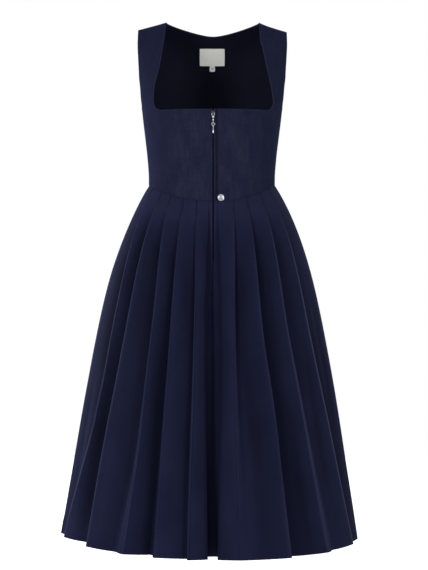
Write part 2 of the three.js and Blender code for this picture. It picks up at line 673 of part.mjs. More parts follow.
const SLIDER_Z = -210;
const SLIDER_HALF = 4.2;
const SLIDER_LENGTH = 9;
const SLIDER_WALL = 1.8;
const BRIDGE_WIDTH = 1.8;
const BRIDGE_HALF_LENGTH = 2.6;
const BRIDGE_WALL = 1;
const BRIDGE_HEIGHT = 3.6;
const BRIDGE_CORNER = 0.8;
const BRIDGE_FOOT = 0.3; // how deep its feet stand in the slider
const SWING_AXIS_HEIGHT = 1.3; // above the slider's plate, as the bridge's is

// Lays a piece that was made on the x-z plane, facing -Y, on the front of the bodice.
function layOnFront(mesh, x, z) {
  const surface = (u, v) => figurePoint(FRONT, u, v);
  const angle = angleAt(x, z);
  mesh.position.copy(surface(angle, z));
  mesh.quaternion.setFromUnitVectors(new THREE.Vector3(0, -1, 0), normalOf(surface, angle, z));
}

// The bridge that the pull hangs from: an arch in the y-z plane, with its feet in the slider.
function bridge() {
  const [half, height, corner] = [BRIDGE_HALF_LENGTH, BRIDGE_HEIGHT, BRIDGE_CORNER];
  const [innerHalf, innerHeight] = [half - BRIDGE_WALL, height - BRIDGE_WALL];
  const arch = new THREE.Shape([
    new THREE.Vector2(0, -half),
    new THREE.Vector2(height - corner, -half),
    new THREE.Vector2(height, -half + corner),
    new THREE.Vector2(height, half - corner),
    new THREE.Vector2(height - corner, half),
    new THREE.Vector2(0, half),
    new THREE.Vector2(0, innerHalf),
    new THREE.Vector2(innerHeight, innerHalf),
    new THREE.Vector2(innerHeight, -innerHalf),
    new THREE.Vector2(0, -innerHalf),
  ]);
  return new THREE.ExtrudeGeometry(arch, { depth: BRIDGE_WIDTH, bevelEnabled: false })
    .translate(0, 0, -BRIDGE_WIDTH / 2)
    .rotateX(Math.PI / 2)
    .rotateZ(-Math.PI / 2)
    .translate(0, BRIDGE_FOOT - SEAM_GAP - SLIDER_WALL, 0);
}

const sliderPlate = plate(
  stadium(SLIDER_HALF, SLIDER_LENGTH / 2, -SLIDER_LENGTH / 2),
  SLIDER_WALL,
  -(SEAM_GAP + SLIDER_WALL / 2)
);
const slider = addPiece('zip_slider', fromManifold(joined(sliderPlate, bridge())), SILVER);
layOnFront(slider, 0, SLIDER_Z);
slider.updateMatrixWorld();

// ---------------------------------------------------------------- pull

// The pull's own frame has its swing axis at the origin, and it hangs down -Z, tilted in degrees so that the
// drop at its end just clears the cloth.
const PULL_TILT = 2.2;
const RING_HALF = 2.9;
const RING_BAND = 1;
const RING_BOTTOM = -6.8;
const BEAD = { z: -8.9, radius: 2.4 };
const LINKS = [
  { z: -12.6, radius: 1.4 },
  { z: -15.8, radius: 1.4 },
];
const DIAMOND = { z: -24, halfWidth: 4.3, halfHeight: 5.8, hole: 0.45, wall: 1.6 };
const DROP_PROFILE = [
  { z: -43.5, radius: 0 },
  { z: -43.2, radius: 1.3 },
  { z: -41.5, radius: 2.2 },
  { z: -39, radius: 2.4 },
  { z: -35.5, radius: 1.7 },
  { z: -33.2, radius: 0.9 },
  { z: -29, radius: 0.75 },
  { z: -29, radius: 0 },
];
const STEM_RADIUS = 0.75;
const STEM_SINK = 1; // how far the stem runs into the diamond

// A round piece on the z axis, from a table of heights and radii.
function turned(profile, segments = 12) {
  const points = profile.map((row) => new THREE.Vector2(row.radius, row.z));
  return new THREE.LatheGeometry(points, segments).rotateX(Math.PI / 2);
}

const ball = ({ z, radius }) => new THREE.SphereGeometry(radius, 12, 8).translate(0, 0, z);

function pullRing() {
  const ring = stadium(RING_HALF, RING_BAND / 2, RING_BOTTOM);
  ring.holes.push(stadium(RING_HALF - RING_BAND, -RING_BAND / 2, RING_BOTTOM + RING_BAND));
  return plate(ring, RING_BAND, 0);
}

function pullDiamond() {
  const { z, halfWidth, halfHeight, hole, wall } = DIAMOND;
  const corners = (share) => [
    new THREE.Vector2(0, z - halfHeight * share),
    new THREE.Vector2(halfWidth * share, z),
    new THREE.Vector2(0, z + halfHeight * share),
    new THREE.Vector2(-halfWidth * share, z),
  ];
  const shape = new THREE.Shape(corners(1));
  shape.holes.push(new THREE.Path(corners(hole)));
  return plate(shape, wall, 0);
}

function pullStem() {
  const top = RING_BOTTOM + RING_BAND / 2;
  const bottom = DIAMOND.z + DIAMOND.halfHeight - STEM_SINK;
  return new THREE.CylinderGeometry(STEM_RADIUS, STEM_RADIUS, top - bottom, 8)
    .rotateX(Math.PI / 2)
    .translate(0, 0, (top + bottom) / 2);
}

const beads = [BEAD, ...LINKS].map(ball);
const pullGeometry = joined(pullRing(), pullStem(), ...beads, pullDiamond(), turned(DROP_PROFILE));
const pull = addPiece('zip_pull', fromManifold(pullGeometry), SILVER);
const swingAxisOut = SEAM_GAP + SLIDER_WALL + SWING_AXIS_HEIGHT;
pull.position.copy(slider.localToWorld(new THREE.Vector3(0, -swingAxisOut, 0)));
pull.rotation.x = -degToRad(PULL_TILT);

// ---------------------------------------------------------------- apron button

const BUTTON_X = 16.7;
const BUTTON_Z = -387;
const BUTTON_PROFILE = [
  { z: 0, radius: 0 },
  { z: 0, radius: 5.6 },
  { z: 0.8, radius: 7.2 },
  { z: 1.7, radius: 7.5 },
  { z: 2.6, radius: 6.9 },
  { z: 2.9, radius: 6.1 },
  { z: 2.3, radius: 5 },
  { z: 2.7, radius: 3 },
  { z: 3, radius: 0 },
];

const buttonGeometry = turned(BUTTON_PROFILE, 24).rotateX(Math.PI / 2).translate(0, -SEAM_GAP, 0);
layOnFront(addPiece('apron_button', buttonGeometry, BUTTON_METAL), BUTTON_X, BUTTON_Z);

export default dirndl;
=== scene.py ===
"""A sleeveless dirndl in midnight blue, filled out with no wearer.

The cloth pieces are thin shells on the forms of their solids, with their folds, seams and stitches.
Metres, +Z up, and the front faces -Y. Left and right are the wearer's, so left is +X.
"""

import json
import math

import bpy
import numpy as np
from mathutils import Matrix, Vector


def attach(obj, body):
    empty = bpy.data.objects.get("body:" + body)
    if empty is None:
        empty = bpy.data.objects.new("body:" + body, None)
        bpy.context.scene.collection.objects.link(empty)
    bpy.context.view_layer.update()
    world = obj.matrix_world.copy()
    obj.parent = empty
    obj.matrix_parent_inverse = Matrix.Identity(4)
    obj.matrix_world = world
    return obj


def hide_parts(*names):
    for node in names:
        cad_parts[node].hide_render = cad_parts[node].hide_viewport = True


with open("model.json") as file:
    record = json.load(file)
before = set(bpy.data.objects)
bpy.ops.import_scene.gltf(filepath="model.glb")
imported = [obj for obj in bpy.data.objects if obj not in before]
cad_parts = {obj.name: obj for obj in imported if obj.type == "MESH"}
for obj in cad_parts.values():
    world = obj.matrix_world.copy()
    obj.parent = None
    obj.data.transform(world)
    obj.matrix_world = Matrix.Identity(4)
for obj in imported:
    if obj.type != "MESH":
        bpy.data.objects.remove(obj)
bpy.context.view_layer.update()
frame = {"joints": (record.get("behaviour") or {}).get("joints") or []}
MM = 0.001


def link_object(obj):
    bpy.context.scene.collection.objects.link(obj)


# ---------------------------------------------------------------- camera

CAMERA_DISTANCE = 3.2
CAMERA_HEIGHT = -0.572
CAMERA_SIDE = 0.0017
FIELD_HEIGHT = 1.2426  # how much of the plane x-z through the origin the view takes in


def add_camera():
    data = bpy.data.cameras.new("camera")
    data.sensor_width = 36
    data.lens = data.sensor_width * CAMERA_DISTANCE / FIELD_HEIGHT
    camera = bpy.data.objects.new("camera", data)
    camera.location = (CAMERA_SIDE, -CAMERA_DISTANCE, CAMERA_HEIGHT)
    camera.rotation_euler = (math.pi / 2, 0, 0)
    link_object(camera)
    bpy.context.scene.camera = camera


add_camera()

# ---------------------------------------------------------------- sizes of the garment

NECK_HALF = 0.101
SHOULDER_HALF = 0.162
RIGHT_SHOULDER = (0.0168, 0.92)  # how far the seam falls to its outer end, and its bow
LEFT_SHOULDER = (0.021, 0.78)

NECKLINE_Z = -0.2005
NECKLINE_CORNER = 0.018
BACK_NECK_DROP = 0.0225
BACK_NECK_POWER = 1.3
BACK_NECK_ROUND = 0.01  # half width over which its lowest point is rounded

UNDERARM_Z = -0.190
ARMHOLE_MIDDLE_Z = -0.100
ARMHOLE_ANGLE = 61.5
SIDE_ANGLE = 90

WAIST_FRONT_Z = -0.3935
WAIST_SIDE_Z = -0.356
WAIST_BACK_Z = -0.365
WAIST_BOW = 1.75
WAIST_HALF = 0.1373
WAIST_FRONT_DEPTH = 0.096
WAIST_BACK_DEPTH = 0.080

HEM_Z = -1.1135
HEM_TILT = 0.0055  # the wearer's left side of the hem hangs so much lower, and the right side higher
HEM_SAG = 0.0055  # the same for the middle of the front
HEM_HALF = 0.3223
HEM_FRONT_DEPTH = 0.292
HEM_BACK_DEPTH = 0.285

SPRING_SHARE = 0.35  # of the flare, which the skirt makes over the hips
SPRING_REACH = 0.17
BODICE_POWER = 2.6  # sections are superellipses, squarer at the chest than at the hem
HEM_POWER = 2
POWER_REACH = 0.12

FRONT_ROLL = 0.130
BACK_ROLL = 0.095
LEAN_SHOULDER = 0.0018
LEAN_WAIST = 0.003
LEAN_HEM = 0.0077

ZIP_GAP = 0.0026
ZIP_END = 0.17
SEAM = 0.00015  # half the gap at a seam
SIDE_SEAM = 0.00003

BODICE_WALL = 0.0018
LINING_WALL = 0.001
SKIRT_WALL = 0.0006
HEM_WALL = 0.0014
HEM_TURN_UP = 0.035

FRONT, BACK = -1, 1

# Half width and depths of the figure by height.
FIGURE = np.array(
    [
        # z, half, front, back
        (0.000, 0.1789, 0.0700, 0.0840),
        (-0.050, 0.1789, 0.0800, 0.0910),
        (-0.081, 0.1770, 0.0880, 0.0945),
        (-0.100, 0.1756, 0.0920, 0.0960),
        (-0.125, 0.1727, 0.0970, 0.0975),
        (-0.150, 0.1660, 0.1010, 0.0985),
        (-0.168, 0.1606, 0.1040, 0.0990),
        (-0.190, 0.1529, 0.1075, 0.0990),
        (-0.212, 0.1503, 0.1110, 0.0980),
        (-0.256, 0.1449, 0.1126, 0.0945),
        (-0.299, 0.1400, 0.1080, 0.0885),
        (-0.343, 0.1371, 0.1010, 0.0825),
        (-0.394, 0.1373, 0.0960, 0.0790),
    ]
)
FIGURE_HALF, FIGURE_FRONT, FIGURE_BACK = 1, 2, 3

# Distance of the neckline's edges from the centre by height, above its corners.
NECKLINE = np.array(
    [
        # z, right, left
        (0.000, 0.1010, 0.1010),
        (-0.040, 0.1035, 0.1016),
        (-0.070, 0.1074, 0.1077),
        (-0.094, 0.1108, 0.1124),
        (-0.115, 0.1149, 0.1166),
        (-0.136, 0.1203, 0.1220),
        (-0.157, 0.1246, 0.1267),
        (-0.1825, 0.1252, 0.1305),
    ]
)

# Rows of the bodice above the neckline's level, as shares of the height there.
UNDERARM_SHARE = (UNDERARM_Z - NECKLINE_Z) / (-RIGHT_SHOULDER[0] - NECKLINE_Z)
UPPER_ROWS = np.array(
    [
        # at the neckline, at the armhole, at the middle of the back
        (0, 0, 0),
        (0.007, UNDERARM_SHARE, 0.12),
        (0.025, 0.073, 0.22),
        (0.052, 0.13, 0.34),
        (0.09, 0.228, 0.46),
        (0.18, 0.375, 0.58),
        (0.31, 0.543, 0.69),
        (0.46, 0.696, 0.79),
        (0.62, 0.804, 0.87),
        (0.76, 0.891, 0.93),
        (0.88, 0.95, 0.96),
        (0.95, 0.98, 0.98),
        (0.99, 0.996, 0.996),
        (1, 1, 1),
    ]
)
AT_NECKLINE, AT_ARMHOLE, AT_MIDDLE = 0, 1, 2
LAST_ROW = len(UPPER_ROWS) - 1

# Pleats of each quarter of the skirt, from the middle outwards. Each has four rows: the angle of its edge,
# how many millimetres the cloth drops behind it, how softly it does so, from a pressed edge at 0 to a wave
# at 1, and how deep the painted shade behind it is. A row has numbers for the waist, for two heights below
# it and for the hem. The last number is how bright the painted highlight on the edge is.
PLEAT_HEIGHTS = (0, 0.33, 0.66, 1)
PLEATS = {
    "front_right": [
        ((9.8, 9.1, 9, 9), (1.6, 10, 12, 13), (0, 0, 0.15, 0.2), (0.67, 0.67, 0.5, 0.35), 0.09),
        ((20.8, 21, 21, 21), (1.6, 15, 21, 26), (0, 0, 0.4, 0.7), (0.67, 0.65, 0.6, 0.55), 0.04),
        ((34.2, 30.9, 31.3, 34), (1.7, 17, 18, 10), (0, 0, 0.55, 1), (0.67, 0.6, 0.4, 0.2), 0.13),
        ((46.5, 47.3, 50.4, 52.8), (1.8, 22, 30, 36), (0, 0, 0, 0.1), (0.67, 0.8, 0.8, 0.3), 0.27),
        ((62, 58.9, 61.6, 75.2), (1.6, 16, 13, 8), (0, 0.2, 0.6, 1), (0.6, 0.9, 0.4, 0), 0.4),
        ((75, 76.5, 80, 84.5), (1.5, 4, 4, 3), (0, 0, 0.4, 0.6), (0.5, 0.4, 0.2, 0.2), 0.05),
    ],
    "front_left": [
        ((13.2, 11.1, 9.9, 10), (1.6, 9, 6, 1), (0, 0.1, 0.7, 1), (0.67, 0.67, 0.67, 0.3), 0.09),
        ((25.8, 25.3, 28.7, 30.3), (1.6, 16, 19, 17), (0, 0, 0.1, 0.3), (0.67, 0.62, 0.6, 0.4), 0.14),
        ((42.6, 40.5, 44.6, 49.2), (1.7, 12, 11, 9), (0, 0, 0.5, 1), (0.67, 0.45, 0.2, 0), 0.4),
        ((58.5, 57.4, 63, 71), (1.6, 13, 17, 13), (0, 0, 0, 0), (0.5, 0.5, 0.7, 0.7), 0.95),
        ((74, 77, 80, 83), (1.5, 5, 6, 4), (0, 0, 0.4, 0.8), (0.3, 0.3, 0.3, 0.2), 0.1),
    ],
    "back_left": [
        ((10, 11.8, 11.2, 10.5), (1.6, 13, 19, 24), (0, 0, 0, 0.2), (0.67, 0.7, 0.7, 0.6), 0.1),
        ((23.5, 24, 25.6, 27), (1.7, 15, 18, 18), (0, 0, 0.4, 0.8), (0.67, 0.7, 0.5, 0.3), 0.16),
        ((38.5, 41.5, 42, 41), (1.7, 18, 26, 30), (0, 0, 0, 0.15), (0.67, 0.8, 0.9, 0.7), 0.24),
        ((56, 56, 57.2, 60.5), (1.6, 13, 14, 12), (0, 0.1, 0.5, 0.9), (0.6, 0.6, 0.45, 0.3), 0.35),
        ((73, 74, 75, 77), (1.5, 7, 8, 9), (0, 0, 0, 0.3), (0.4, 0.5, 0.5, 0.4), 0.2),
    ],
    "back_right": [
        ((11.5, 10.6, 10.7, 11.4), (1.6, 12, 16, 15), (0, 0, 0.35, 0.8), (0.67, 0.67, 0.5, 0.35), 0.09),
        ((25.5, 26.2, 26.4, 25), (1.7, 17, 24, 29), (0, 0, 0.1, 0.2), (0.67, 0.75, 0.8, 0.7), 0.14),
        ((40, 39.4, 40.4, 42.3), (1.7, 14, 17, 14), (0, 0, 0.45, 1), (0.67, 0.65, 0.5, 0.3), 0.2),
        ((55, 57, 58.3, 58.5), (1.6, 17, 23, 26), (0, 0, 0, 0.1), (0.6, 0.8, 0.85, 0.7), 0.3),
        ((72, 73, 73.6, 75), (1.5, 8, 9, 11), (0, 0, 0.3, 0.5), (0.4, 0.5, 0.4, 0.4), 0.15),
    ],
}
FOLD_HEIGHTS = (0, 0.33, 1)

# The deep fold down the middle of the front and of the back. Each side of it has the angle of its lip at the
# waist, below it and at the hem, the depth of its floor there, and the share of that depth at the lip.
MIDDLE_FOLDS = {
    "front_right": (1.8, 3.6, 1.9, 0.0, 0.030, 0.044, 0.28),
    "front_left": (1.8, 3.9, 1.6, 0.0, 0.030, 0.044, 0.16),
    "back_left": (1.6, 2.4, 2.3, 0.0012, 0.016, 0.028, 0.3),
    "back_right": (1.6, 2.8, 2.0, 0.0012, 0.016, 0.028, 0.3),
}

# Soft troughs and ridges on the pleats' faces: the angle at the top and at the bottom, the shares of the
# skirt's length between which they run, their width in degrees and their depth.
SOFT_CREASES = {
    "front_right": [
        (5.5, 5.0, 0.30, 0.95, 1.9, 0.0022),
        (14.5, 14.0, 0.05, 0.50, 2.4, 0.0016),
        (26.0, 26.5, 0.25, 0.90, 2.8, 0.0030),
        (41.0, 43.0, 0.10, 0.55, 3.2, 0.0024),
        (39.0, 46.0, 0.60, 1.10, 3.0, -0.0020),
        (54.0, 61.0, 0.35, 1.10, 3.4, 0.0050),
        (67.0, 77.0, 0.45, 1.05, 3.0, 0.0034),
        (90.0, 90.0, -0.12, 0.30, 12.0, 0.0030),
    ],
    "front_left": [
        (7.0, 6.5, 0.20, 0.75, 2.2, 0.0020),
        (17.0, 19.5, 0.60, 1.10, 4.2, 0.0014),
        (19.5, 14.0, 0.55, 1.10, 3.0, -0.0016),
        (31.0, 36.0, 0.15, 0.60, 3.0, 0.0026),
        (36.0, 40.0, 0.55, 1.10, 3.4, 0.0040),
        (50.0, 56.0, 0.30, 0.95, 3.2, 0.0034),
        (68.0, 75.0, 0.20, 0.80, 3.0, 0.0028),
    ],
    "back_left": [
        (6.0, 6.0, 0.25, 0.90, 2.2, 0.0022),
        (17.0, 19.0, 0.35, 1.10, 3.4, 0.0034),
        (30.0, 34.0, 0.15, 0.65, 3.0, 0.0026),
        (47.0, 50.0, 0.45, 1.10, 3.6, 0.0042),
        (65.0, 68.0, 0.25, 0.85, 3.2, 0.0030),
    ],
    "back_right": [
        (6.5, 6.0, 0.40, 1.00, 2.2, 0.0020),
        (18.0, 18.0, 0.15, 0.70, 3.0, 0.0028),
        (32.0, 34.0, 0.45, 1.10, 3.6, 0.0040),
        (48.0, 51.0, 0.25, 0.80, 3.2, 0.0030),
        (64.0, 67.0, 0.50, 1.10, 3.4, 0.0034),
        (90.0, 90.0, -0.12, 0.30, 12.0, 0.0030),
    ],
}

# ---------------------------------------------------------------- small mathematics


def mix(a, b, share):
    return a + (b - a) * share


def signed_power(value, power):
    return np.sign(value) * np.abs(value) ** power


def smooth_step(low, high, value):
    share = np.clip((value - low) / (high - low), 0, 1)
    return share * share * (3 - 2 * share)


def read(places, values, at):
    """A smooth curve through a table that never overshoots its rows."""
    places, values = np.asarray(places, float), np.asarray(values, float)
    if places[0] > places[-1]:
        places, values = places[::-1], values[::-1]
    at = np.clip(at, places[0], places[-1])
    i = np.clip(np.searchsorted(places, at, side="right") - 1, 0, len(places) - 2)
    slopes = np.diff(values) / np.diff(places)
    tangents = np.concatenate([slopes[:1], np.zeros(len(slopes) - 1), slopes[-1:]])
    same_way = slopes[:-1] * slopes[1:] > 0
    before, after = slopes[:-1][same_way], slopes[1:][same_way]
    tangents[1:-1][same_way] = 2 * before * after / (before + after)
    span = places[i + 1] - places[i]
    s = (at - places[i]) / span
    return (
        values[i] * (1 + 2 * s) * (1 - s) ** 2
        + values[i + 1] * (3 - 2 * s) * s**2
        + span * (tangents[i] * s * (1 - s) ** 2 - tangents[i + 1] * (1 - s) * s**2)
    )


def read_figure(z, column):
    return read(FIGURE[:, 0], FIGURE[:, column], z)


def unit(vectors):
    return vectors / np.maximum(np.linalg.norm(vectors, axis=-1, keepdims=True), 1e-12)


def ripple(a, b, seed):
    """Slow waves of about one unit's height over two coordinates, for cloth that is never quite even."""
    waves = [(1.0, 0.7, 0.3), (-0.6, 1.3, 1.7), (1.9, -0.9, 4.1), (0.8, 2.3, 2.2), (2.7, 1.1, 5.3)]
    total = 0
    for k, (along_a, along_b, phase) in enumerate(waves):
        total = total + np.sin(along_a * a + along_b * b + phase + seed * (k + 1)) / (k + 1.5)
    return total / 1.6


# ---------------------------------------------------------------- forms of the cloth


def half_width(z):
    return read_figure(z, FIGURE_HALF)


def distance_at(angle, z):
    return half_width(z) * signed_power(np.sin(np.radians(angle)), 2 / BODICE_POWER)


def angle_at(x, z):
    share = np.minimum(1, np.abs(x) / half_width(z))
    return np.sign(x) * np.degrees(np.arcsin(share ** (BODICE_POWER / 2)))


def waist_z(angle, face):
    middle = WAIST_FRONT_Z if face == FRONT else WAIST_BACK_Z
    return mix(middle, WAIST_SIDE_Z, np.abs(np.sin(np.radians(angle))) ** WAIST_BOW)


def hem_z(angle, face):
    a = np.radians(angle)
    sag = HEM_SAG * np.cos(a) ** 2 if face == FRONT else 0
    return HEM_Z + HEM_TILT * face * np.sin(a) - sag


def lean(points, half):
    z = points[..., 2]
    above = mix(LEAN_SHOULDER, LEAN_WAIST, z / WAIST_SIDE_Z)
    below = mix(LEAN_WAIST, LEAN_HEM, (WAIST_SIDE_Z - z) / (WAIST_SIDE_Z - HEM_Z))
    amount = np.where(z > WAIST_SIDE_Z, above, below)
    points[..., 0] -= amount * np.minimum(1, np.abs(points[..., 0]) / half)
    return points


def figure_point(face, angle, z, edge_highlight=0.0):
    """Points of the figure. The wall rolls in to y = 0 at the height of its crest."""
    roll = FRONT_ROLL if face == FRONT else BACK_ROLL
    rise = np.clip((edge_highlight - z) / roll, 0, 1)
    depth = read_figure(z, FIGURE_FRONT if face == FRONT else FIGURE_BACK)
    depth = depth * np.sqrt(rise * (2 - rise))
    y = face * depth * signed_power(np.cos(np.radians(angle)), 2 / BODICE_POWER)
    x = -face * distance_at(angle, z)
    return lean(np.stack(np.broadcast_arrays(x, y, z), axis=-1).astype(float), half_width(z))


def flare(v):
    return (1 - SPRING_SHARE) * v + SPRING_SHARE * (1 - np.exp(-v / SPRING_REACH))


def skirt_section(face, angle, v):
    """The skirt's round section, before its folds, as x and y."""
    depths = (WAIST_FRONT_DEPTH, HEM_FRONT_DEPTH) if face == FRONT else (WAIST_BACK_DEPTH, HEM_BACK_DEPTH)
    half = mix(WAIST_HALF, HEM_HALF, flare(v))
    power = 2 / mix(HEM_POWER, BODICE_POWER, np.exp(-v / POWER_REACH))
    a = np.radians(angle)
    x = -face * half * signed_power(np.sin(a), power)
    y = face * mix(*depths, flare(v)) * signed_power(np.cos(a), power)
    return np.stack(np.broadcast_arrays(x, y), axis=-1)


def skirt_point(face, angle, v, drop):
    """Points of the skirt, dropped inwards from its round section."""
    step = 0.01
    across = unit(skirt_section(face, angle + step, v) - skirt_section(face, angle - step, v))
    flat = skirt_section(face, angle, v)
    x = flat[..., 0] - across[..., 1] * drop
    y = flat[..., 1] + across[..., 0] * drop
    z = mix(waist_z(angle, face) - SEAM, hem_z(angle, face), v)
    half = mix(WAIST_HALF, HEM_HALF, flare(v))
    return lean(np.stack(np.broadcast_arrays(x, y, z), axis=-1).astype(float), half)


# ---------------------------------------------------------------- cloth shells

RIM_STEPS = 4
NEUTRAL = 0.5


def grid_faces(index):
    """Quads of a grid of vertex numbers. Seen from outside, columns run to the right and rows upwards."""
    corners = index[:-1, :-1], index[:-1, 1:], index[1:, 1:], index[1:, :-1]
    return np.stack([c.ravel() for c in corners], axis=-1)


def weld(grids):
    """Joins grids of points along their shared edges: points, quads, and each grid's vertex numbers."""
    flat = np.concatenate([g.reshape(-1, 3) for g in grids])
    _, first, number = np.unique(np.round(flat, 6), axis=0, return_index=True, return_inverse=True)
    number = number.reshape(-1)
    indices = []
    start = 0
    for g in grids:
        count = g.shape[0] * g.shape[1]
        indices.append(number[start : start + count].reshape(g.shape[:2]))
        start += count
    return flat[first], np.concatenate([grid_faces(i) for i in indices]), indices


def vertex_normals(points, quads):
    a, b, c, d = (points[quads[:, k]] for k in range(4))
    facing = np.cross(c - a, d - b)
    total = np.zeros_like(points)
    for k in range(4):
        np.add.at(total, quads[:, k], facing)
    return unit(total)


def free_edges(quads):
    """Edges that only one quad has, in that quad's direction."""
    edges = np.concatenate([quads[:, [k, (k + 1) % 4]] for k in range(4)])
    known = {tuple(e) for e in edges.tolist()}
    return np.array([e for e in edges.tolist() if (e[1], e[0]) not in known])


def make_mesh(name, points, faces, uv=None, ridge=None):
    mesh = bpy.data.meshes.new(name)
    mesh.from_pydata(points.tolist(), [], [list(f) for f in faces])
    if uv is not None:
        layer = mesh.uv_layers.new(name="cloth")
        corner = np.zeros(len(mesh.loops), np.int32)
        mesh.loops.foreach_get("vertex_index", corner)
        layer.data.foreach_set("uv", uv[corner].astype(np.float32).ravel())
    if ridge is not None:
        mesh.attributes.new("ridge", "FLOAT", "POINT").data.foreach_set("value", ridge.astype(np.float32))
    mesh.shade_smooth()
    mesh.validate()
    obj = bpy.data.objects.new(name, mesh)
    link_object(obj)
    return obj


def cloth_shell(name, grids, uvs, thickness, inside=0.0, ridges=NEUTRAL, rim_highlight=NEUTRAL):
    """A closed shell with round edges. Its outer face lies on the grids, or inside them by a distance.
    Thickness and ridges are one number or one for each point of each grid. A ridge paints light and shade
    into the
    colour: it is 1 for a painted highlight where a fold stands out, and 0 for painted shade at the bottom of
    a fold."""
    points, quads, indices = weld(grids)
    normals = vertex_normals(points, quads)
    wall = np.zeros(len(points))
    ridge = np.zeros(len(points))
    uv = np.zeros((len(points), 2))
    for i, index in enumerate(indices):
        wall[index] = thickness if np.isscalar(thickness) else thickness[i]
        ridge[index] = ridges if np.isscalar(ridges) else ridges[i]
        uv[index] = uvs[i]
    outer = points - normals * inside
    edges = free_edges(quads)
    away = np.zeros_like(points)
    along = unit(outer[edges[:, 1]] - outer[edges[:, 0]])
    for k in (0, 1):
        np.add.at(away, edges[:, k], np.cross(along, normals[edges[:, k]]))
    away = unit(away)
    border = np.unique(edges)
    outer[border] -= away[border] * wall[border, None] / 2
    inner = outer - normals * wall[:, None]

    count = len(points)
    faces = quads.tolist() + (quads[:, ::-1] + count).tolist()
    number = np.full(count, -1)
    number[border] = np.arange(len(border))
    rings = [outer, inner]
    middle = (outer[border] + inner[border]) / 2
    levels = [np.arange(count)]
    for s in range(1, RIM_STEPS):
        turn = math.pi * s / RIM_STEPS
        reach = wall[border, None] / 2
        ring = middle + normals[border] * reach * math.cos(turn) + away[border] * reach * math.sin(turn)
        rings.append(ring)
        levels.append(2 * count + (s - 1) * len(border) + number)
    levels.append(np.arange(count) + count)
    for upper, lower in zip(levels[:-1], levels[1:]):
        for a, b in edges.tolist():
            faces.append([int(upper[b]), int(upper[a]), int(lower[a]), int(lower[b])])
    all_uv = np.concatenate([uv, uv] + [uv[border]] * (RIM_STEPS - 1))
    rim = np.full(len(border) * (RIM_STEPS - 1), rim_highlight)
    all_ridges = np.concatenate([ridge, np.full(count, NEUTRAL), rim])
    return make_mesh(name, np.concatenate(rings), faces, all_uv, all_ridges)


def lengths(grid):
    """Distance of each point of a grid along its row from the first column."""
    steps = np.linalg.norm(np.diff(grid, axis=1), axis=-1)
    return np.concatenate([np.zeros((len(grid), 1)), np.cumsum(steps, axis=1)], axis=1)


def heights(grid):
    return lengths(grid.swapaxes(0, 1)).swapaxes(0, 1)


def cloth_uv(grid, middle_column=0, base=0.0):
    """Distances in metres across and up the cloth, from one of its columns and its lowest row."""
    across = lengths(grid)
    across = across - across[:, middle_column : middle_column + 1]
    return np.stack([across, heights(grid) + base], axis=-1)


# ---------------------------------------------------------------- skirt

SKIRT_ROWS = 78
PRESS_REACH = 0.07  # share of the length over which the pleats stay pressed flat below the waist
PRESSED_UNDER = 0.006  # how far the cloth turns back under a pressed edge
LOOSE_UNDER = 0.42  # the same where the pleats are open, as a share of the drop
EDGE_ROUND = (0.0022, 0.0048)  # at the waist and at the hem
RELEASED = 0.085  # share of the length by which the pleats stand free of each other
FULL_SHADE = 0.012  # the depth from which a fold has its full shade
TOP_RIDGE = 0.55  # ridge of the smooth cloth below the waist, a painted light where it tilts up towards the lamps
LIP_SPREAD = 0.0005  # keeps the middle fold's columns apart where it is closed
CREASE_SHADE = 30  # how much a metre of depth takes off the ridge
EDGE_SWAY = 0.35  # degrees by which the edges wander
FACE_POWER = 1.2  # how soon a pleat's face rises from behind its neighbour
FACE_SHARES = (0.1, 0.24, 0.42, 0.6, 0.78, 0.92)  # where a face's columns stand between two edges
FACE_RIDGE = (0.53, 0.52, 0.51)  # painted light near the edges of the first pleat, the second and the others
# Painted light on the last face, at the side seam.
SIDE_RIDGE = 0.54
FLOOR_RIDGE = (0.51, 0.6)  # painted light on the middle fold's floor, at the waist and at the hem
LIP_SHADE = 0.3
FLOOR_UNDER = 0.009  # how far the floor goes on behind the lip, at most
# Columns of the lip: 1 for those behind it, how many gaps they stand from its edge, their share of the way
# down to the floor, and their ridge, which paints shade on the lip.
LIP_SHAPE = (
    (1, -3, 0.95, 0.37),
    (1, -2, 0.55, 0.33),
    (0, -1, 0.12, 0.23),
    (0, 0, 0, 0.23),
)
WAVE_SPREAD = 0.026  # how far round a soft pleat falls away
LOOSE_DEPTH = 0.0009  # how deep the slow waves of the loose cloth are, and how much they change its ridge
LOOSE_RIDGE = 0.025


def over_length(row, v, first=0):
    return read(FOLD_HEIGHTS, row[first : first + 3], v)


def cut_corners(path, times=2):
    """Rounds a path by cutting its corners, with the same number of new points on every row."""
    for _ in range(times):
        low = mix(path[:, :-1], path[:, 1:], 0.25)
        high = mix(path[:, :-1], path[:, 1:], 0.75)
        inner = np.stack([low, high], axis=2).reshape(len(path), -1, path.shape[-1])
        path = np.concatenate([path[:, :1], inner[:, 1:-1], path[:, -1:]], axis=1)
    return path


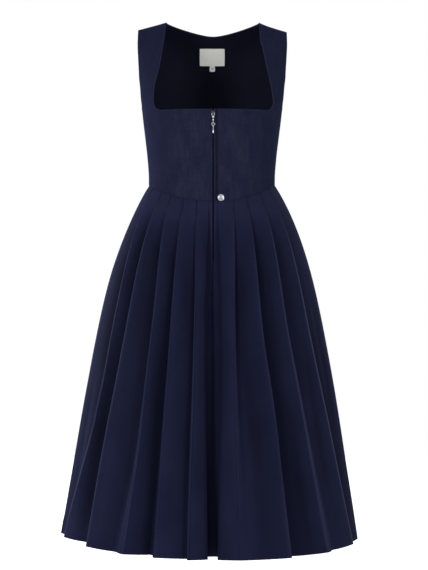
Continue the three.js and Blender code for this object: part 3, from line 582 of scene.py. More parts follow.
def pleated_path(name, face, v):
    """Angle, drop and ridge of every column of a quarter of the skirt, from the middle to the side seam."""
    fold = MIDDLE_FOLDS[name]
    lip, floor = over_length(fold, v), over_length(fold, v, 3)
    lip_drop = floor * fold[6]
    pressed = np.exp(-v / PRESS_REACH)
    edge_round = mix(*EDGE_ROUND, smooth_step(0, 0.7, v))
    released = mix(0.12, 1, smooth_step(0.008, RELEASED, v))
    shaded = smooth_step(0.02, 2 * RELEASED, v)

    def degrees(distance, at):
        """How many degrees a distance round the skirt takes at an angle."""
        step = 0.5
        chord = skirt_section(face, at + step, v) - skirt_section(face, at - step, v)
        return distance / np.linalg.norm(chord, axis=-1)

    columns = []
    # Painted light on the smooth cloth just below the waist, fading out further down.
    plain = mix(TOP_RIDGE, NEUTRAL, smooth_step(0.02, 0.2, v))

    def add(angle, drop, ridge, depth=FULL_SHADE):
        """Adds a column. Its shade is weaker where the fold it belongs to is shallow."""
        ridge = mix(plain, ridge, shaded * smooth_step(0, FULL_SHADE, depth))
        columns.append(np.stack(np.broadcast_arrays(angle, drop, ridge, v), axis=-1)[:, :3])

    under = degrees(np.minimum(FLOOR_UNDER, 0.3 * (floor - lip_drop)), lip)
    apart = degrees(LIP_SPREAD, lip) * (1 - smooth_step(0, 0.003, floor))
    # The middle fold: painted light on its floor and painted shade on its lip.
    floor_ridge = mix(*FLOOR_RIDGE, v)
    add(0 * v, floor, floor_ridge)
    add(lip * 0.5, floor, floor_ridge)
    for behind, gaps, deep, light in LIP_SHAPE:
        add(lip + behind * under + gaps * apart, mix(lip_drop, floor, deep), light)
    add(lip + degrees(edge_round, lip), lip_drop * 0.93, 0.26)

    drop, place, fold_ridge = lip_drop, lip, LIP_SHADE
    for k, pleat in enumerate(PLEATS[name] + [None]):
        if pleat:
            edge, next_drop, wave, shade = (read(PLEAT_HEIGHTS, row, v) for row in pleat[:4])
            edge = edge + EDGE_SWAY * smooth_step(0.1, 0.6, v) * ripple(v * 5, 3.1 * k + 0 * v, len(name) + k)
            next_drop = next_drop * MM * released
        else:
            edge, next_drop = SIDE_ANGLE + 0 * v, 0 * v
        power = mix(0.8, 1.6, smooth_step(10, 40, edge))
        # Each face rises from the painted shade of the fold before it to painted light near its own edge.
        for share in FACE_SHARES:
            light = mix(fold_ridge, FACE_RIDGE[min(k, 2)], share**power)
            around = FULL_SHADE if k == 0 else mix(drop, next_drop, share)
            add(mix(place, edge, share), drop * (1 - share) ** FACE_POWER, light, around)
        if not pleat:
            add(edge, 0 * v, SIDE_RIDGE)
            break
        back = mix(LOOSE_UNDER * next_drop, PRESSED_UNDER, pressed)
        back = np.minimum(back, 4 * next_drop)
        turn = degrees(back, edge) * (1 - wave)
        spread = degrees(WAVE_SPREAD, edge) * wave
        soft = degrees(edge_round, edge)
        # Painted highlight on the edge, and painted shade in the fold behind it.
        edge_highlight = mix(NEUTRAL, 1, pleat[4])
        fold_ridge = NEUTRAL * (1 - shade)
        add(edge - soft, 0 * v, mix(NEUTRAL, edge_highlight, 0.7), next_drop)
        add(edge, 0 * v, edge_highlight, next_drop)
        below = mix(0.09, 0.75, pressed) * next_drop
        add(edge + 0.22 * spread, below, mix(fold_ridge, edge_highlight, 0.5), next_drop)
        add(edge - turn + 0.52 * spread, mix(0.5, 0.78, pressed) * next_drop, fold_ridge, next_drop)
        near = 0.4 * soft * (1 - wave)
        add(edge - turn - near + 0.8 * spread, mix(0.9, 0.98, pressed) * next_drop, fold_ridge, next_drop)
        add(edge - turn + soft + spread, next_drop, fold_ridge, next_drop)
        drop, place = next_drop, edge + spread
    return cut_corners(np.stack(columns, axis=1))


def quarter_path(name, face, v):
    """The pleated path with its soft creases and the slow waves of loose cloth."""
    path = pleated_path(name, face, v)
    angle, drop, ridge = (path[..., k] for k in range(3))
    share = v[:, None]
    for top, bottom, begin, end, width, depth in SOFT_CREASES[name]:
        line = mix(top, bottom, share)
        run = smooth_step(begin, begin + 0.25, share) * (1 - smooth_step(end - 0.25, end, share))
        trough = run * np.exp(-(((angle - line) / width) ** 2))
        drop = drop + depth * trough
        ridge = ridge - CREASE_SHADE * depth * trough
    loose = smooth_step(0.02, 0.3, share)
    seed = 1.7 * sorted(PLEATS).index(name)
    drop = drop + LOOSE_DEPTH * loose * ripple(angle / 9, share * 9, seed)
    ridge = ridge + LOOSE_RIDGE * loose * ripple(angle / 6 + 2, share * 12, seed + 1)
    return angle, drop, np.clip(ridge, 0, 1)


TUCK = (0.0021, 0.0032)  # how far the top edge goes in and up, behind the bodice
WAIST_SHADE = 0.52


def skirt_quarter(name, face, turn, v):
    """The points and ridges of a quarter, with a last row that is tucked behind the bodice."""
    angle, drop, ridge = quarter_path(name, face, v)
    grid = skirt_point(face, turn * angle, v[:, None], drop)
    grid[-1] = skirt_point(face, turn * angle[-1], v[-1], drop[-1] + TUCK[0]) + np.array([0, 0, TUCK[1]])
    ridge[-2:] = WAIST_SHADE
    return grid, ridge


def skirt_rows():
    """Shares of the length, from the hem up, closer together below the waist, which has two rows."""
    t = np.linspace(1, 0, SKIRT_ROWS)
    return np.append(mix(t, t**2, 0.45), 0.0)


HEM_UNEVEN = 0.0012


def settle_hem(grid, v):
    """The hem hangs a little unevenly."""
    share = smooth_step(0.8, 1, v)[:, None]
    angle = np.arctan2(grid[..., 0], -grid[..., 1])
    grid[..., 2] += share * HEM_UNEVEN * ripple(angle * 5, 0 * angle, 0.4)
    return grid


MIDDLE_LAP = (0.003, 0.0025, 0)  # how far the right front's middle edge goes behind the left's
SLIT_REACH = 0.006  # how far from the middle the cloth moves to leave the slit for the zip
SLIT_CLOSING = 0.03  # share of the length over which the slit closes
LIP_COLUMNS = 8  # of a front's middle fold, which move with the slit


def beside_slit(grid):
    """1 at the middle of the front, and 0 from the end of the slit's reach."""
    return np.clip(1 - np.abs(grid[..., 0]) / SLIT_REACH, 0, 1)


def part_side_seams(grid, face):
    """Moves the points on y = 0 to their own side of the seam."""
    on_seam = np.abs(grid[..., 1]) < 1e-7
    grid[..., 1] += np.where(on_seam, face * SIDE_SEAM, 0)
    return grid


def skirt_piece(name, face, v, grid, ridge, middle):
    """A piece of the skirt, thicker where its hem is turned up. Its middle column is the straight one."""
    part_side_seams(settle_hem(grid, v), face)
    turned_up = (v > 1 - HEM_TURN_UP / (WAIST_FRONT_Z - HEM_Z)).astype(float)
    thickness = np.broadcast_to(mix(SKIRT_WALL, HEM_WALL, turned_up)[:, None], grid.shape[:2])
    return cloth_shell(name, [grid], [cloth_uv(grid, middle)], [thickness], ridges=[ridge])


def skirt_front(side, quarter):
    v = skirt_rows()
    grid, ridge = skirt_quarter(quarter, FRONT, side, v)
    open_slit = smooth_step(ZIP_END + SLIT_CLOSING, ZIP_END, v)
    edge = mix(SEAM, ZIP_GAP / 2, open_slit)
    near = beside_slit(grid) * (np.arange(grid.shape[1]) < LIP_COLUMNS)
    grid[..., 0] += side * edge[:, None] * near
    if side < 0:
        grid[:, 0] += (1 - open_slit)[:, None] * np.array(MIDDLE_LAP)
        grid, ridge = grid[:, ::-1], ridge[:, ::-1]
    middle = 0 if side > 0 else grid.shape[1] - 1
    return skirt_piece(f"skirt_{quarter}_cloth", FRONT, v, grid, ridge, middle)


def skirt_back():
    v = skirt_rows()
    left, left_ridge = skirt_quarter("back_left", BACK, -1, v)
    right, right_ridge = skirt_quarter("back_right", BACK, 1, v)
    grid = np.concatenate([left[:, ::-1], right[:, 1:]], axis=1)
    ridge = np.concatenate([left_ridge[:, ::-1], right_ridge[:, 1:]], axis=1)
    return skirt_piece("skirt_back_cloth", BACK, v, grid, ridge, left.shape[1] - 1)


# ---------------------------------------------------------------- bodice


def shoulder_z(x):
    share = np.clip((np.abs(x) - NECK_HALF) / (SHOULDER_HALF - NECK_HALF), 0, 1)
    left, right = (-drop * share**bow for drop, bow in (LEFT_SHOULDER, RIGHT_SHOULDER))
    return np.where(x > 0, left, right)


def back_neck_z(x):
    share = np.hypot(x, BACK_NECK_ROUND) / math.hypot(NECK_HALF, BACK_NECK_ROUND)
    return -BACK_NECK_DROP * (1 - share**BACK_NECK_POWER)


def neckline_x(side, z):
    """Distance of the neckline's edge from the centre, with its bottom corner as a quarter circle."""
    centre = NECKLINE_Z + NECKLINE_CORNER
    below = np.clip(centre - z, 0, NECKLINE_CORNER)
    inset = NECKLINE_CORNER - np.sqrt(NECKLINE_CORNER**2 - below**2)
    return read(NECKLINE[:, 0], NECKLINE[:, 2 if side > 0 else 1], np.maximum(z, centre)) - inset


def armhole_angle(z):
    below = np.clip((ARMHOLE_MIDDLE_Z - z) / (ARMHOLE_MIDDLE_Z - UNDERARM_Z), 0, 1)
    return SIDE_ANGLE - (SIDE_ANGLE - ARMHOLE_ANGLE) * np.sqrt(1 - below**2)


def upper_share(row, start, end, blend):
    i = np.minimum(np.floor(row).astype(int), LAST_ROW - 1)
    low = mix(UPPER_ROWS[i, start], UPPER_ROWS[i, end], blend)
    high = mix(UPPER_ROWS[i + 1, start], UPPER_ROWS[i + 1, end], blend)
    return mix(low, high, row - i)


NECK_ANGLE = float(angle_at(NECK_HALF, np.float64(0)))


def corner_angle(side):
    z = np.float64(NECKLINE_Z)
    return float(angle_at(neckline_x(side, z), z))


LOWER_ROWS = 72
ROWS_BETWEEN = 6  # rows of the upper part for each one of its table
SLIT_COLUMNS = np.array([0, 1, 2, 3.2, 4.3, 5.3, 6.1, 6.9, 7.7, 8.5, 9.3, 10.2, 11.4, 13]) * MM
FRONT_MIDDLE_COLUMNS = 40
FRONT_OUTER_COLUMNS = 30
BACK_COLUMNS = 60


def middle_angles(side):
    """Angles from the slit to the neckline's corner, closer together beside the slit."""
    near = angle_at(SLIT_COLUMNS, np.float64(NECKLINE_Z))
    return np.concatenate([near[:-1], np.linspace(near[-1], corner_angle(side), FRONT_MIDDLE_COLUMNS)])


def upper_rows(last=LAST_ROW):
    return np.linspace(0, last, LAST_ROW * ROWS_BETWEEN + 1)[:, None]


def lower_grid(face, angles, above_waist=SEAM):
    share = np.linspace(0, 1, LOWER_ROWS)[:, None]
    z = mix(waist_z(angles, face) + above_waist, NECKLINE_Z, share)
    return figure_point(face, angles[None, :], z)


def strap_grid(side, out):
    row = upper_rows()
    seam_angle = mix(NECK_ANGLE, ARMHOLE_ANGLE, out)
    top = shoulder_z(side * distance_at(seam_angle, np.zeros_like(out)))
    z = mix(NECKLINE_Z, top, upper_share(row, AT_NECKLINE, AT_ARMHOLE, out))
    angle = mix(angle_at(neckline_x(side, z), z), armhole_angle(z), out)
    return figure_point(FRONT, side * angle, z, top)


def back_grid(u, last=LAST_ROW):
    row = upper_rows(last)
    top_x = -distance_at(u * ARMHOLE_ANGLE, np.zeros_like(u))
    top = np.where(np.abs(top_x) < NECK_HALF, back_neck_z(top_x), shoulder_z(top_x))
    z = mix(NECKLINE_Z, top, upper_share(row, AT_MIDDLE, AT_ARMHOLE, u**2))
    return figure_point(BACK, u * armhole_angle(z), z, np.maximum(top, shoulder_z(top_x)))


# Soft troughs in the bodice: x and z of the two ends, width and depth.
BODICE_CREASES = [
    (0.139, -0.330, 0.098, -0.338, 0.0060, 0.0011),
    (0.134, -0.349, 0.080, -0.361, 0.0050, 0.0009),
    (0.136, -0.213, 0.108, -0.238, 0.0070, 0.0010),
    (0.050, -0.384, 0.024, -0.372, 0.0050, 0.0006),
    (-0.136, -0.338, -0.102, -0.349, 0.0060, 0.0010),
    (-0.139, -0.316, -0.112, -0.320, 0.0050, 0.0007),
    (-0.138, -0.216, -0.114, -0.234, 0.0070, 0.0011),
    (-0.062, -0.388, -0.030, -0.376, 0.0050, 0.0006),
    (-0.150, -0.080, -0.126, -0.112, 0.0060, 0.0006),
    (0.148, -0.096, 0.128, -0.120, 0.0060, 0.0006),
]


BODICE_WAVES = 0.00035
EDGE_HOLD = 0.02  # distance from the side seam over which the creases begin


def crease(grid):
    """Presses the soft troughs into a grid and gives it slow waves, along y, which is close to its normal."""
    x, y, z = (grid[..., k] for k in range(3))
    depth = BODICE_WAVES * ripple(x * 55, z * 38, 2.0 + np.sign(y.mean()))
    for x0, z0, x1, z1, width, deep in BODICE_CREASES:
        dx, dz = x1 - x0, z1 - z0
        along = np.clip(((x - x0) * dx + (z - z0) * dz) / (dx * dx + dz * dz), 0, 1)
        away = np.hypot(x - x0 - along * dx, z - z0 - along * dz)
        depth = depth + deep * np.sin(np.pi * mix(0.15, 1, along)) * np.exp(-((away / width) ** 2))
    edge = np.clip(np.abs(y) / EDGE_HOLD, 0, 1)
    grid[..., 1] -= np.sign(y) * depth * edge
    return grid


LAP = 0.0076  # from the slit to the line of stitches beside it
LAP_GROOVE = 0.0009
LAP_SOFTNESS = 0.0026
LAP_SHADE = 0.75


def bodice_front(side, quarter):
    corner = corner_angle(side)
    outside = np.linspace(corner, SIDE_ANGLE, FRONT_OUTER_COLUMNS)
    angles = side * np.concatenate([middle_angles(side), outside[1:]])
    lower = lower_grid(FRONT, angles)
    upper = strap_grid(side, (outside - corner) / (SIDE_ANGLE - corner))
    lower[..., 0] += side * ZIP_GAP / 2 * beside_slit(lower)
    groove = np.exp(-(((lower[..., 0] - LAP) / LAP_SOFTNESS) ** 2))
    ridge = NEUTRAL * (1 - LAP_SHADE * groove)
    lower[..., 1] += LAP_GROOVE * groove
    if side < 0:
        lower, upper, ridge = lower[:, ::-1], upper[:, ::-1], ridge[:, ::-1]
    grids = [part_side_seams(crease(g), FRONT) for g in (lower, upper)]
    seam_column = 0 if side > 0 else lower.shape[1] - 1
    lower_uv = cloth_uv(grids[0], seam_column)
    shared = lower_uv[-1, -FRONT_OUTER_COLUMNS:] if side > 0 else lower_uv[-1, :FRONT_OUTER_COLUMNS]
    upper_uv = cloth_uv(grids[1], 0)
    upper_uv[..., 0] = mix(shared[None, :, 0], upper_uv[..., 0] + shared[0, 0], 0.5)
    upper_uv[..., 1] += shared[None, :, 1]
    ridges = [ridge, np.full(upper.shape[:2], NEUTRAL)]
    name = f"bodice_{quarter}_cloth"
    # The rims get a painted highlight.
    return cloth_shell(name, grids, [lower_uv, upper_uv], BODICE_WALL, ridges=ridges, rim_highlight=1)


def back_grids(edge=1.0, last=LAST_ROW, above_waist=SEAM):
    half = np.linspace(0, edge, BACK_COLUMNS)
    half[np.argmin(np.abs(half - NECK_ANGLE / ARMHOLE_ANGLE))] = NECK_ANGLE / ARMHOLE_ANGLE
    u = np.concatenate([-half[:0:-1], half])
    return lower_grid(BACK, u * SIDE_ANGLE, above_waist), back_grid(u, last)


def back_uvs(lower, upper):
    lower_uv = cloth_uv(lower, BACK_COLUMNS - 1)
    upper_uv = cloth_uv(upper, BACK_COLUMNS - 1)
    upper_uv[..., 1] += lower_uv[-1:, :, 1]
    return [lower_uv, upper_uv]


def bodice_back():
    grids = [part_side_seams(crease(g), BACK) for g in back_grids()]
    # The rims get a painted highlight.
    return cloth_shell("bodice_back_cloth", grids, back_uvs(*grids), BODICE_WALL, rim_highlight=1)


LINING_INSIDE = BODICE_WALL + 2 * SEAM


def back_lining():
    grids = back_grids(edge=0.99, last=LAST_ROW - 0.35, above_waist=TUCK[1] + 0.001)
    return cloth_shell("back_lining_cloth", grids, back_uvs(*grids), LINING_WALL, LINING_INSIDE)


# ---------------------------------------------------------------- label and size tab

LABEL_X = -0.002
LABEL_TOP_Z = -0.0432
LABEL_BOTTOM_Z = -0.0805
LABEL_WIDTH = 0.0554
LABEL_WALL = 0.0006
LABEL_INSIDE = LINING_INSIDE + LINING_WALL + 0.0011  # from the back's outer form to the label
TAB_WIDTH = 0.011
TAB_LENGTH = 0.0126
TAB_TOP_Z = LABEL_BOTTOM_Z - 2 * SEAM
PATCH_COLUMNS = 49
PATCH_ROWS = 37


def lining_point(x, z):
    """A point of the back's outer form at x and z, both arrays."""
    return figure_point(BACK, -angle_at(x, z), z)


def lining_patch(name, width, bottom, top, lift):
    """A flat piece on the lining, from left to right as seen from behind, lifted off it a little unevenly."""
    across = np.linspace(0.5, -0.5, PATCH_COLUMNS)[None, :]
    up = np.linspace(0, 1, PATCH_ROWS)[:, None]
    grid = lining_point(LABEL_X + across * width + 0 * up, mix(bottom, top, up) + 0 * across)
    bulge = lift * (1 - (2 * across) ** 4) * np.sin(np.pi * up) * (1 + 0.4 * ripple(across * 6, up * 4, 1.0))
    grid[..., 1] -= bulge
    return cloth_shell(name, [grid], [cloth_uv(grid, PATCH_COLUMNS // 2)], LABEL_WALL, LABEL_INSIDE)


# ---------------------------------------------------------------- zip tape and teeth

TAPE_WIDTH = 0.024
TAPE_WALL = 0.0009
TAPE_SET_BACK = 0.0012
TAPE_ROWS = 90
TAPE_COLUMNS = 13
TOOTH_PITCH = 0.0012
TOOTH = (0.00056, 0.0021, 0.0006)
TOOTH_FORWARD = 0.0003  # how far the teeth stand in front of the tape's own face


def closure_line(share):
    """The line of the closure, from its lower end at -1 to the waist at 0 and the neckline at 1."""
    zero = np.zeros_like(share)
    upper = figure_point(FRONT, zero, mix(WAIST_FRONT_Z, NECKLINE_Z, np.maximum(share, 0)))
    down = np.clip(-share, 0, 1) * ZIP_END
    lower = skirt_point(FRONT, zero, down, over_length(MIDDLE_FOLDS["front_left"], down, 3))
    return np.where(share[:, None] >= 0, upper, lower)


def zip_tape():
    line = closure_line(np.linspace(-1, 1, TAPE_ROWS))
    across = np.linspace(-0.5, 0.5, TAPE_COLUMNS) * TAPE_WIDTH
    grid = np.repeat(line[:, None, :], len(across), axis=1)
    grid[..., 0] = across[None, :]
    inside = BODICE_WALL + 2 * SEAM + TAPE_SET_BACK
    return cloth_shell("zip_tape_cloth", [grid], [cloth_uv(grid, TAPE_COLUMNS // 2)], TAPE_WALL, inside)


# ---------------------------------------------------------------- hard pieces, modelled in millimetres


def select_only(obj):
    bpy.ops.object.select_all(action="DESELECT")
    obj.select_set(True)
    bpy.context.view_layer.objects.active = obj


def primitive(kind, name, scale=(1, 1, 1), place=(0, 0, 0), turn=(0, 0, 0), **settings):
    bpy.ops.object.select_all(action="DESELECT")
    getattr(bpy.ops.mesh, f"primitive_{kind}_add")(location=place, rotation=turn, **settings)
    obj = bpy.context.object
    obj.name = name
    obj.scale = scale
    bpy.ops.object.transform_apply(location=True, rotation=True, scale=True)
    return obj


def edit(obj, picked=None):
    """Enters edit mode with the vertices selected that a test on their place picks, or all of them."""
    select_only(obj)
    bpy.ops.object.mode_set(mode="EDIT")
    bpy.ops.mesh.select_mode(type="VERT")
    bpy.ops.mesh.select_all(action="DESELECT")
    bpy.ops.object.mode_set(mode="OBJECT")
    for vertex in obj.data.vertices:
        vertex.select = picked is None or picked(vertex.co)
    bpy.ops.object.mode_set(mode="EDIT")


def leave_edit():
    bpy.ops.object.mode_set(mode="OBJECT")


def resize(obj, shares, picked=None, centre=(0, 0, 0)):
    edit(obj, picked)
    bpy.ops.transform.resize(value=shares, center_override=centre)
    leave_edit()


def bevel(obj, width, segments=3, angle=35):
    select_only(obj)
    modifier = obj.modifiers.new("bevel", "BEVEL")
    modifier.width = width
    modifier.segments = segments
    modifier.limit_method = "ANGLE"
    modifier.angle_limit = math.radians(angle)
    bpy.ops.object.modifier_apply(modifier=modifier.name)


def turned(name, profile, segments=32):
    """A round piece on the z axis, drawn on from one height to the next and made wider or narrower there."""
    height, radius = profile[0]
    bpy.ops.object.select_all(action="DESELECT")
    bpy.ops.mesh.primitive_circle_add(
        vertices=segments, radius=radius, location=(0, 0, height), fill_type="NGON"
    )
    obj = bpy.context.object
    obj.name = name
    bpy.ops.object.transform_apply(location=True)
    edit(obj)
    for next_height, next_radius in profile[1:]:
        bpy.ops.mesh.extrude_region_move(
            TRANSFORM_OT_translate={"value": (0, 0, next_height - height)}
        )
        share = next_radius / radius
        bpy.ops.transform.resize(value=(share, share, 1), center_override=(0, 0, next_height))
        height, radius = next_height, next_radius
    bpy.ops.mesh.select_all(action="SELECT")
    bpy.ops.mesh.normals_make_consistent(inside=False)
    leave_edit()
    return obj


def copies_round(obj, count, axis="Y"):
    """Copies of a piece, turned round an axis through the origin, with the piece itself."""
    made = [obj]
    for k in range(1, count):
        twin = obj.copy()
        twin.data = obj.data.copy()
        twin.data.transform(Matrix.Rotation(2 * math.pi * k / count, 4, axis))
        link_object(twin)
        made.append(twin)
    return made


def join(name, pieces):
    bpy.ops.object.select_all(action="DESELECT")
    for piece in pieces:
        piece.select_set(True)
    bpy.context.view_layer.objects.active = pieces[0]
    bpy.ops.object.join()
    obj = bpy.context.object
    obj.name = name
    return obj


def put_in_place(obj, matrix):
    """Brings a piece made in millimetres to its place in the garment."""
    obj.data.transform(matrix @ Matrix.Scale(MM, 4))
    select_only(obj)
    bpy.ops.object.shade_smooth_by_angle(angle=math.radians(40))
    return obj


def on_front(x, z):
    """The place on the front of the bodice at x and z, with -Y facing straight out of the cloth."""
    step = 0.001
    spots = [(x, z), (x + step, z), (x - step, z), (x, z + step), (x, z - step)]
    at = [Vector(figure_point(FRONT, angle_at(np.float64(a), b), np.float64(b))) for a, b in spots]
    facing = (at[1] - at[2]).cross(at[3] - at[4]).normalized()
    turn = Vector((0, -1, 0)).rotation_difference(facing)
    return Matrix.Translation(at[0]) @ turn.to_matrix().to_4x4()


CLOTH_TO_METAL = 0.3
SLIDER_Z = -0.210
SLIDER_HEIGHT = 9.0
SLIDER_WIDTH = 8.4
SLIDER_WALL = 1.8


def slider():
    """The slider's plate, wide above and narrow below, with raised borders and the bridge for the pull."""
    middle = -(CLOTH_TO_METAL + SLIDER_WALL / 2)
    plate = primitive("cube", "plate", (SLIDER_WIDTH, SLIDER_WALL, SLIDER_HEIGHT), (0, middle, 0), size=1)
    edit(plate)
    bpy.ops.mesh.subdivide(number_cuts=3)
    leave_edit()
    for low, high, share in ((-5, -3, 0.56), (-2.5, -2, 0.66), (-0.5, 0.5, 0.86), (4, 5, 0.9)):
        resize(plate, (share, 1, 1), lambda co: low < co.z < high, (0, middle, 0))
    bevel(plate, 0.45)
    face = -(CLOTH_TO_METAL + SLIDER_WALL)
    arch = primitive("cube", "arch", (1.8, 1, 5.2), (0, face - 2.75, 0), size=1)
    feet = [primitive("cube", "foot", (1.8, 3.6, 1), (0, face - 1.5, z), size=1) for z in (-2.1, 2.1)]
    crown = turned("crown", [(0, 0.9), (0.35, 1.0), (0.7, 0.75), (0.9, 0.2)], 16)
    crown.data.transform(Matrix.Translation((0, face, 3.3)) @ Matrix.Rotation(math.pi / 2, 4, "X"))
    for piece in (arch, *feet):
        bevel(piece, 0.28)
    obj = join("zip_slider_silver", [plate, arch, *feet, crown])
    return put_in_place(obj, on_front(0, SLIDER_Z))


RING_RADIUS = 2.4
RING_STRETCH = 1.45  # how much longer than round the ring is
RING_SPREAD = 1.15
FLUTED_BEAD_Z = -8.9
FLUTE = 0.87  # of the bead's radius, at its flutes
COLLARS = ((-6.75, 0.85), (-11.1, 0.8), (-17.6, 0.75), (-30.2, 0.8), (-35.6, 0.9))  # height and radius
STEM_BEAD = (-14.7, 1.9, 1.85)  # height, half height of its sphere and radius
RHOMBUS_Z = -24
RHOMBUS_HALF = (4.1, 5.6)
RHOMBUS_FRAME = 1.35
RHOMBUS_WALL = 1.4
BALL_REACH = 0.83  # of the way from the rhombus's centre to its edge

def ring_of_pull():
    ring = primitive(
        "torus",
        "ring",
        place=(0, 0, -RING_RADIUS),
        turn=(math.pi / 2, 0, 0),
        major_radius=RING_RADIUS,
        minor_radius=0.42,
        major_segments=40,
        minor_segments=14,
    )
    edit(ring, lambda co: co.z < -RING_RADIUS - 0.01)
    bpy.ops.transform.translate(value=(0, 0, -RING_STRETCH))
    leave_edit()
    resize(ring, (RING_SPREAD, 1, 1), lambda co: abs(co.x) > 0.9)
    return ring


def bead_of_pull():
    """A round bead with flutes, and the small collars of the whole pull."""
    bead = primitive("uv_sphere", "bead", (2.4, 2.4, 2.3), segments=32, ring_count=20)

    def in_flute(co):
        return abs(co.z) < 2 and round(math.atan2(co.y, co.x) / (math.pi / 16)) % 4 == 0

    resize(bead, (FLUTE, FLUTE, 1), in_flute)
    bead.data.transform(Matrix.Translation((0, 0, FLUTED_BEAD_Z)))
    collars = [
        primitive(
            "torus",
            "collar",
            place=(0, 0, z),
            major_radius=radius,
            minor_radius=0.32,
            major_segments=24,
            minor_segments=10,
        )
        for z, radius in COLLARS
    ]
    return [bead, *collars]


def stem_of_pull():
    height, half, radius = STEM_BEAD
    profile = [(-19.4, 0.6), (-17.4, 0.5)]
    for step in range(-4, 5):
        turn = step * math.pi / 10
        profile.append((height + half * math.sin(turn), radius * math.cos(turn)))
    profile += [(-11.6, 0.5), (-6.4, 0.6)]
    return turned("stem", profile, 24)


def rhombus_of_pull():
    """A pierced rhombus: a frame with a bevelled face, a ball at each side and two on each edge."""
    half_across, half_high = RHOMBUS_HALF
    rhombus = primitive(
        "circle",
        "rhombus",
        place=(0, 0, RHOMBUS_Z),
        turn=(math.pi / 2, 0, 0),
        vertices=4,
        radius=1,
        fill_type="NGON",
    )
    edit(rhombus)
    bpy.ops.transform.resize(value=(half_across, 1, half_high), center_override=(0, 0, RHOMBUS_Z))
    bpy.ops.mesh.inset(thickness=RHOMBUS_FRAME, depth=0)
    bpy.ops.mesh.delete(type="FACE")
    bpy.ops.mesh.select_all(action="SELECT")
    bpy.ops.mesh.subdivide(number_cuts=1)
    bpy.ops.mesh.extrude_region_move(TRANSFORM_OT_translate={"value": (0, RHOMBUS_WALL, 0)})
    bpy.ops.mesh.select_all(action="SELECT")
    bpy.ops.mesh.normals_make_consistent(inside=False)
    leave_edit()
    rhombus.data.transform(Matrix.Translation((0, -RHOMBUS_WALL / 2, 0)))
    bevel(rhombus, 0.42, 3, 50)
    pieces = [rhombus]

    def add_ball(size, x, y, z):
        pieces.append(primitive("uv_sphere", "ball", size, (x, y, RHOMBUS_Z + z), segments=12, ring_count=8))

    for x in (half_across, -half_across):
        add_ball((0.6, 0.8, 0.6), x, 0, 0)
    for side in (-1, 1):
        for share in (0.33, 0.67):
            x = side * half_across * share * BALL_REACH
            z = half_high * (1 - share) * BALL_REACH
            add_ball((0.42, 0.5, 0.42), x, -RHOMBUS_WALL / 2, z)
            add_ball((0.42, 0.5, 0.42), x, -RHOMBUS_WALL / 2, -z)
    return pieces


def drop_of_pull():
    profile = [
        (-43.4, 0.25), (-43.15, 0.9), (-42.6, 1.35), (-41.7, 1.62), (-40.6, 1.74), (-39.2, 1.72),
        (-37.8, 1.55), (-36.4, 1.25), (-35.2, 0.9), (-34.2, 0.6), (-32.6, 0.48), (-31.0, 0.5),
        (-29.2, 0.7),
    ]
    return turned("drop", profile, 32)


PULL_TILT = 2.2  # degrees, so that the drop just clears the cloth


def pull():
    pieces = [ring_of_pull(), *bead_of_pull(), stem_of_pull(), *rhombus_of_pull(), drop_of_pull()]
    obj = join("zip_pull_silver", pieces)
    pivot = Vector(frame["joints"][0]["pos_m"])
    return put_in_place(obj, Matrix.Translation(pivot) @ Matrix.Rotation(-math.radians(PULL_TILT), 4, "X"))


BUTTON_X = 0.0167
BUTTON_Z = -0.387


def button():
    """A domed metal button: a beaded rim, a hollow ring and a small knob with petals."""
    profile = [
        (0.05, 5.6), (0.5, 6.9), (1.2, 7.4), (1.9, 7.45), (2.3, 7.2), (2.35, 6.2),
        (1.95, 5.7), (1.9, 5.2), (2.35, 4.4), (2.6, 3.4), (2.55, 2.7), (2.0, 2.35),
        (1.95, 1.6), (2.3, 1.3), (2.85, 0.8), (2.95, 0.25),
    ]
    disc = turned("disc", profile, 48)
    upright = Matrix.Translation((0, -CLOTH_TO_METAL, 0)) @ Matrix.Rotation(math.pi / 2, 4, "X")
    disc.data.transform(upright)
    bead = primitive("uv_sphere", "bead", (0.5, 0.5, 0.5), (6.75, -2.6, 0), segments=10, ring_count=6)
    petal = primitive("uv_sphere", "petal", (1.0, 0.36, 0.5), (3.6, -2.85, 0), segments=12, ring_count=8)
    obj = join("apron_button_metal", [disc, *copies_round(bead, 26), *copies_round(petal, 8)])
    return put_in_place(obj, on_front(BUTTON_X, BUTTON_Z))


# ---------------------------------------------------------------- rows of small things


def copies_along(name, pattern, places):
    """One mesh of copies of a small pattern object, each brought to one of the places."""
    points = np.array([v.co for v in pattern.data.vertices])
    faces = [list(p.vertices) for p in pattern.data.polygons]
    all_points = []
    all_faces = []
    for place in places:
        start = len(points) * len(all_points)
        turn = np.array(place.to_3x3())
        all_points.append(points @ turn.T + np.array(place.translation))
        all_faces += [[k + start for k in face] for face in faces]
    bpy.data.objects.remove(pattern)
    return make_mesh(name, np.concatenate(all_points), all_faces)


def resample(path, pitch):
    """Points at even distances along a path, with the other columns read at the same places."""
    steps = np.linalg.norm(np.diff(path[:, :3], axis=0), axis=1)
    run = np.concatenate([[0], np.cumsum(steps)])
    at = np.arange(pitch / 2, run[-1], pitch)
    return np.stack([np.interp(at, run, path[:, k]) for k in range(path.shape[1])], axis=1)


def places_along(points, facings, pitch, side=0.0, lift=0.0):
    """Matrices along a line on the cloth: x along the line, z out of the cloth."""
    path = resample(np.concatenate([points, facings], axis=1), pitch)
    spots, outs = path[:, :3], unit(path[:, 3:])
    alongs = unit(np.gradient(spots, axis=0))
    made = []
    for spot, out, along in zip(spots, outs, alongs):
        across = unit(np.cross(out, along))
        along = np.cross(across, out)
        matrix = Matrix(np.stack([along, across, out], axis=1).tolist()).to_4x4()
        matrix.translation = spot + across * side + out * lift
        made.append(matrix)
    return made


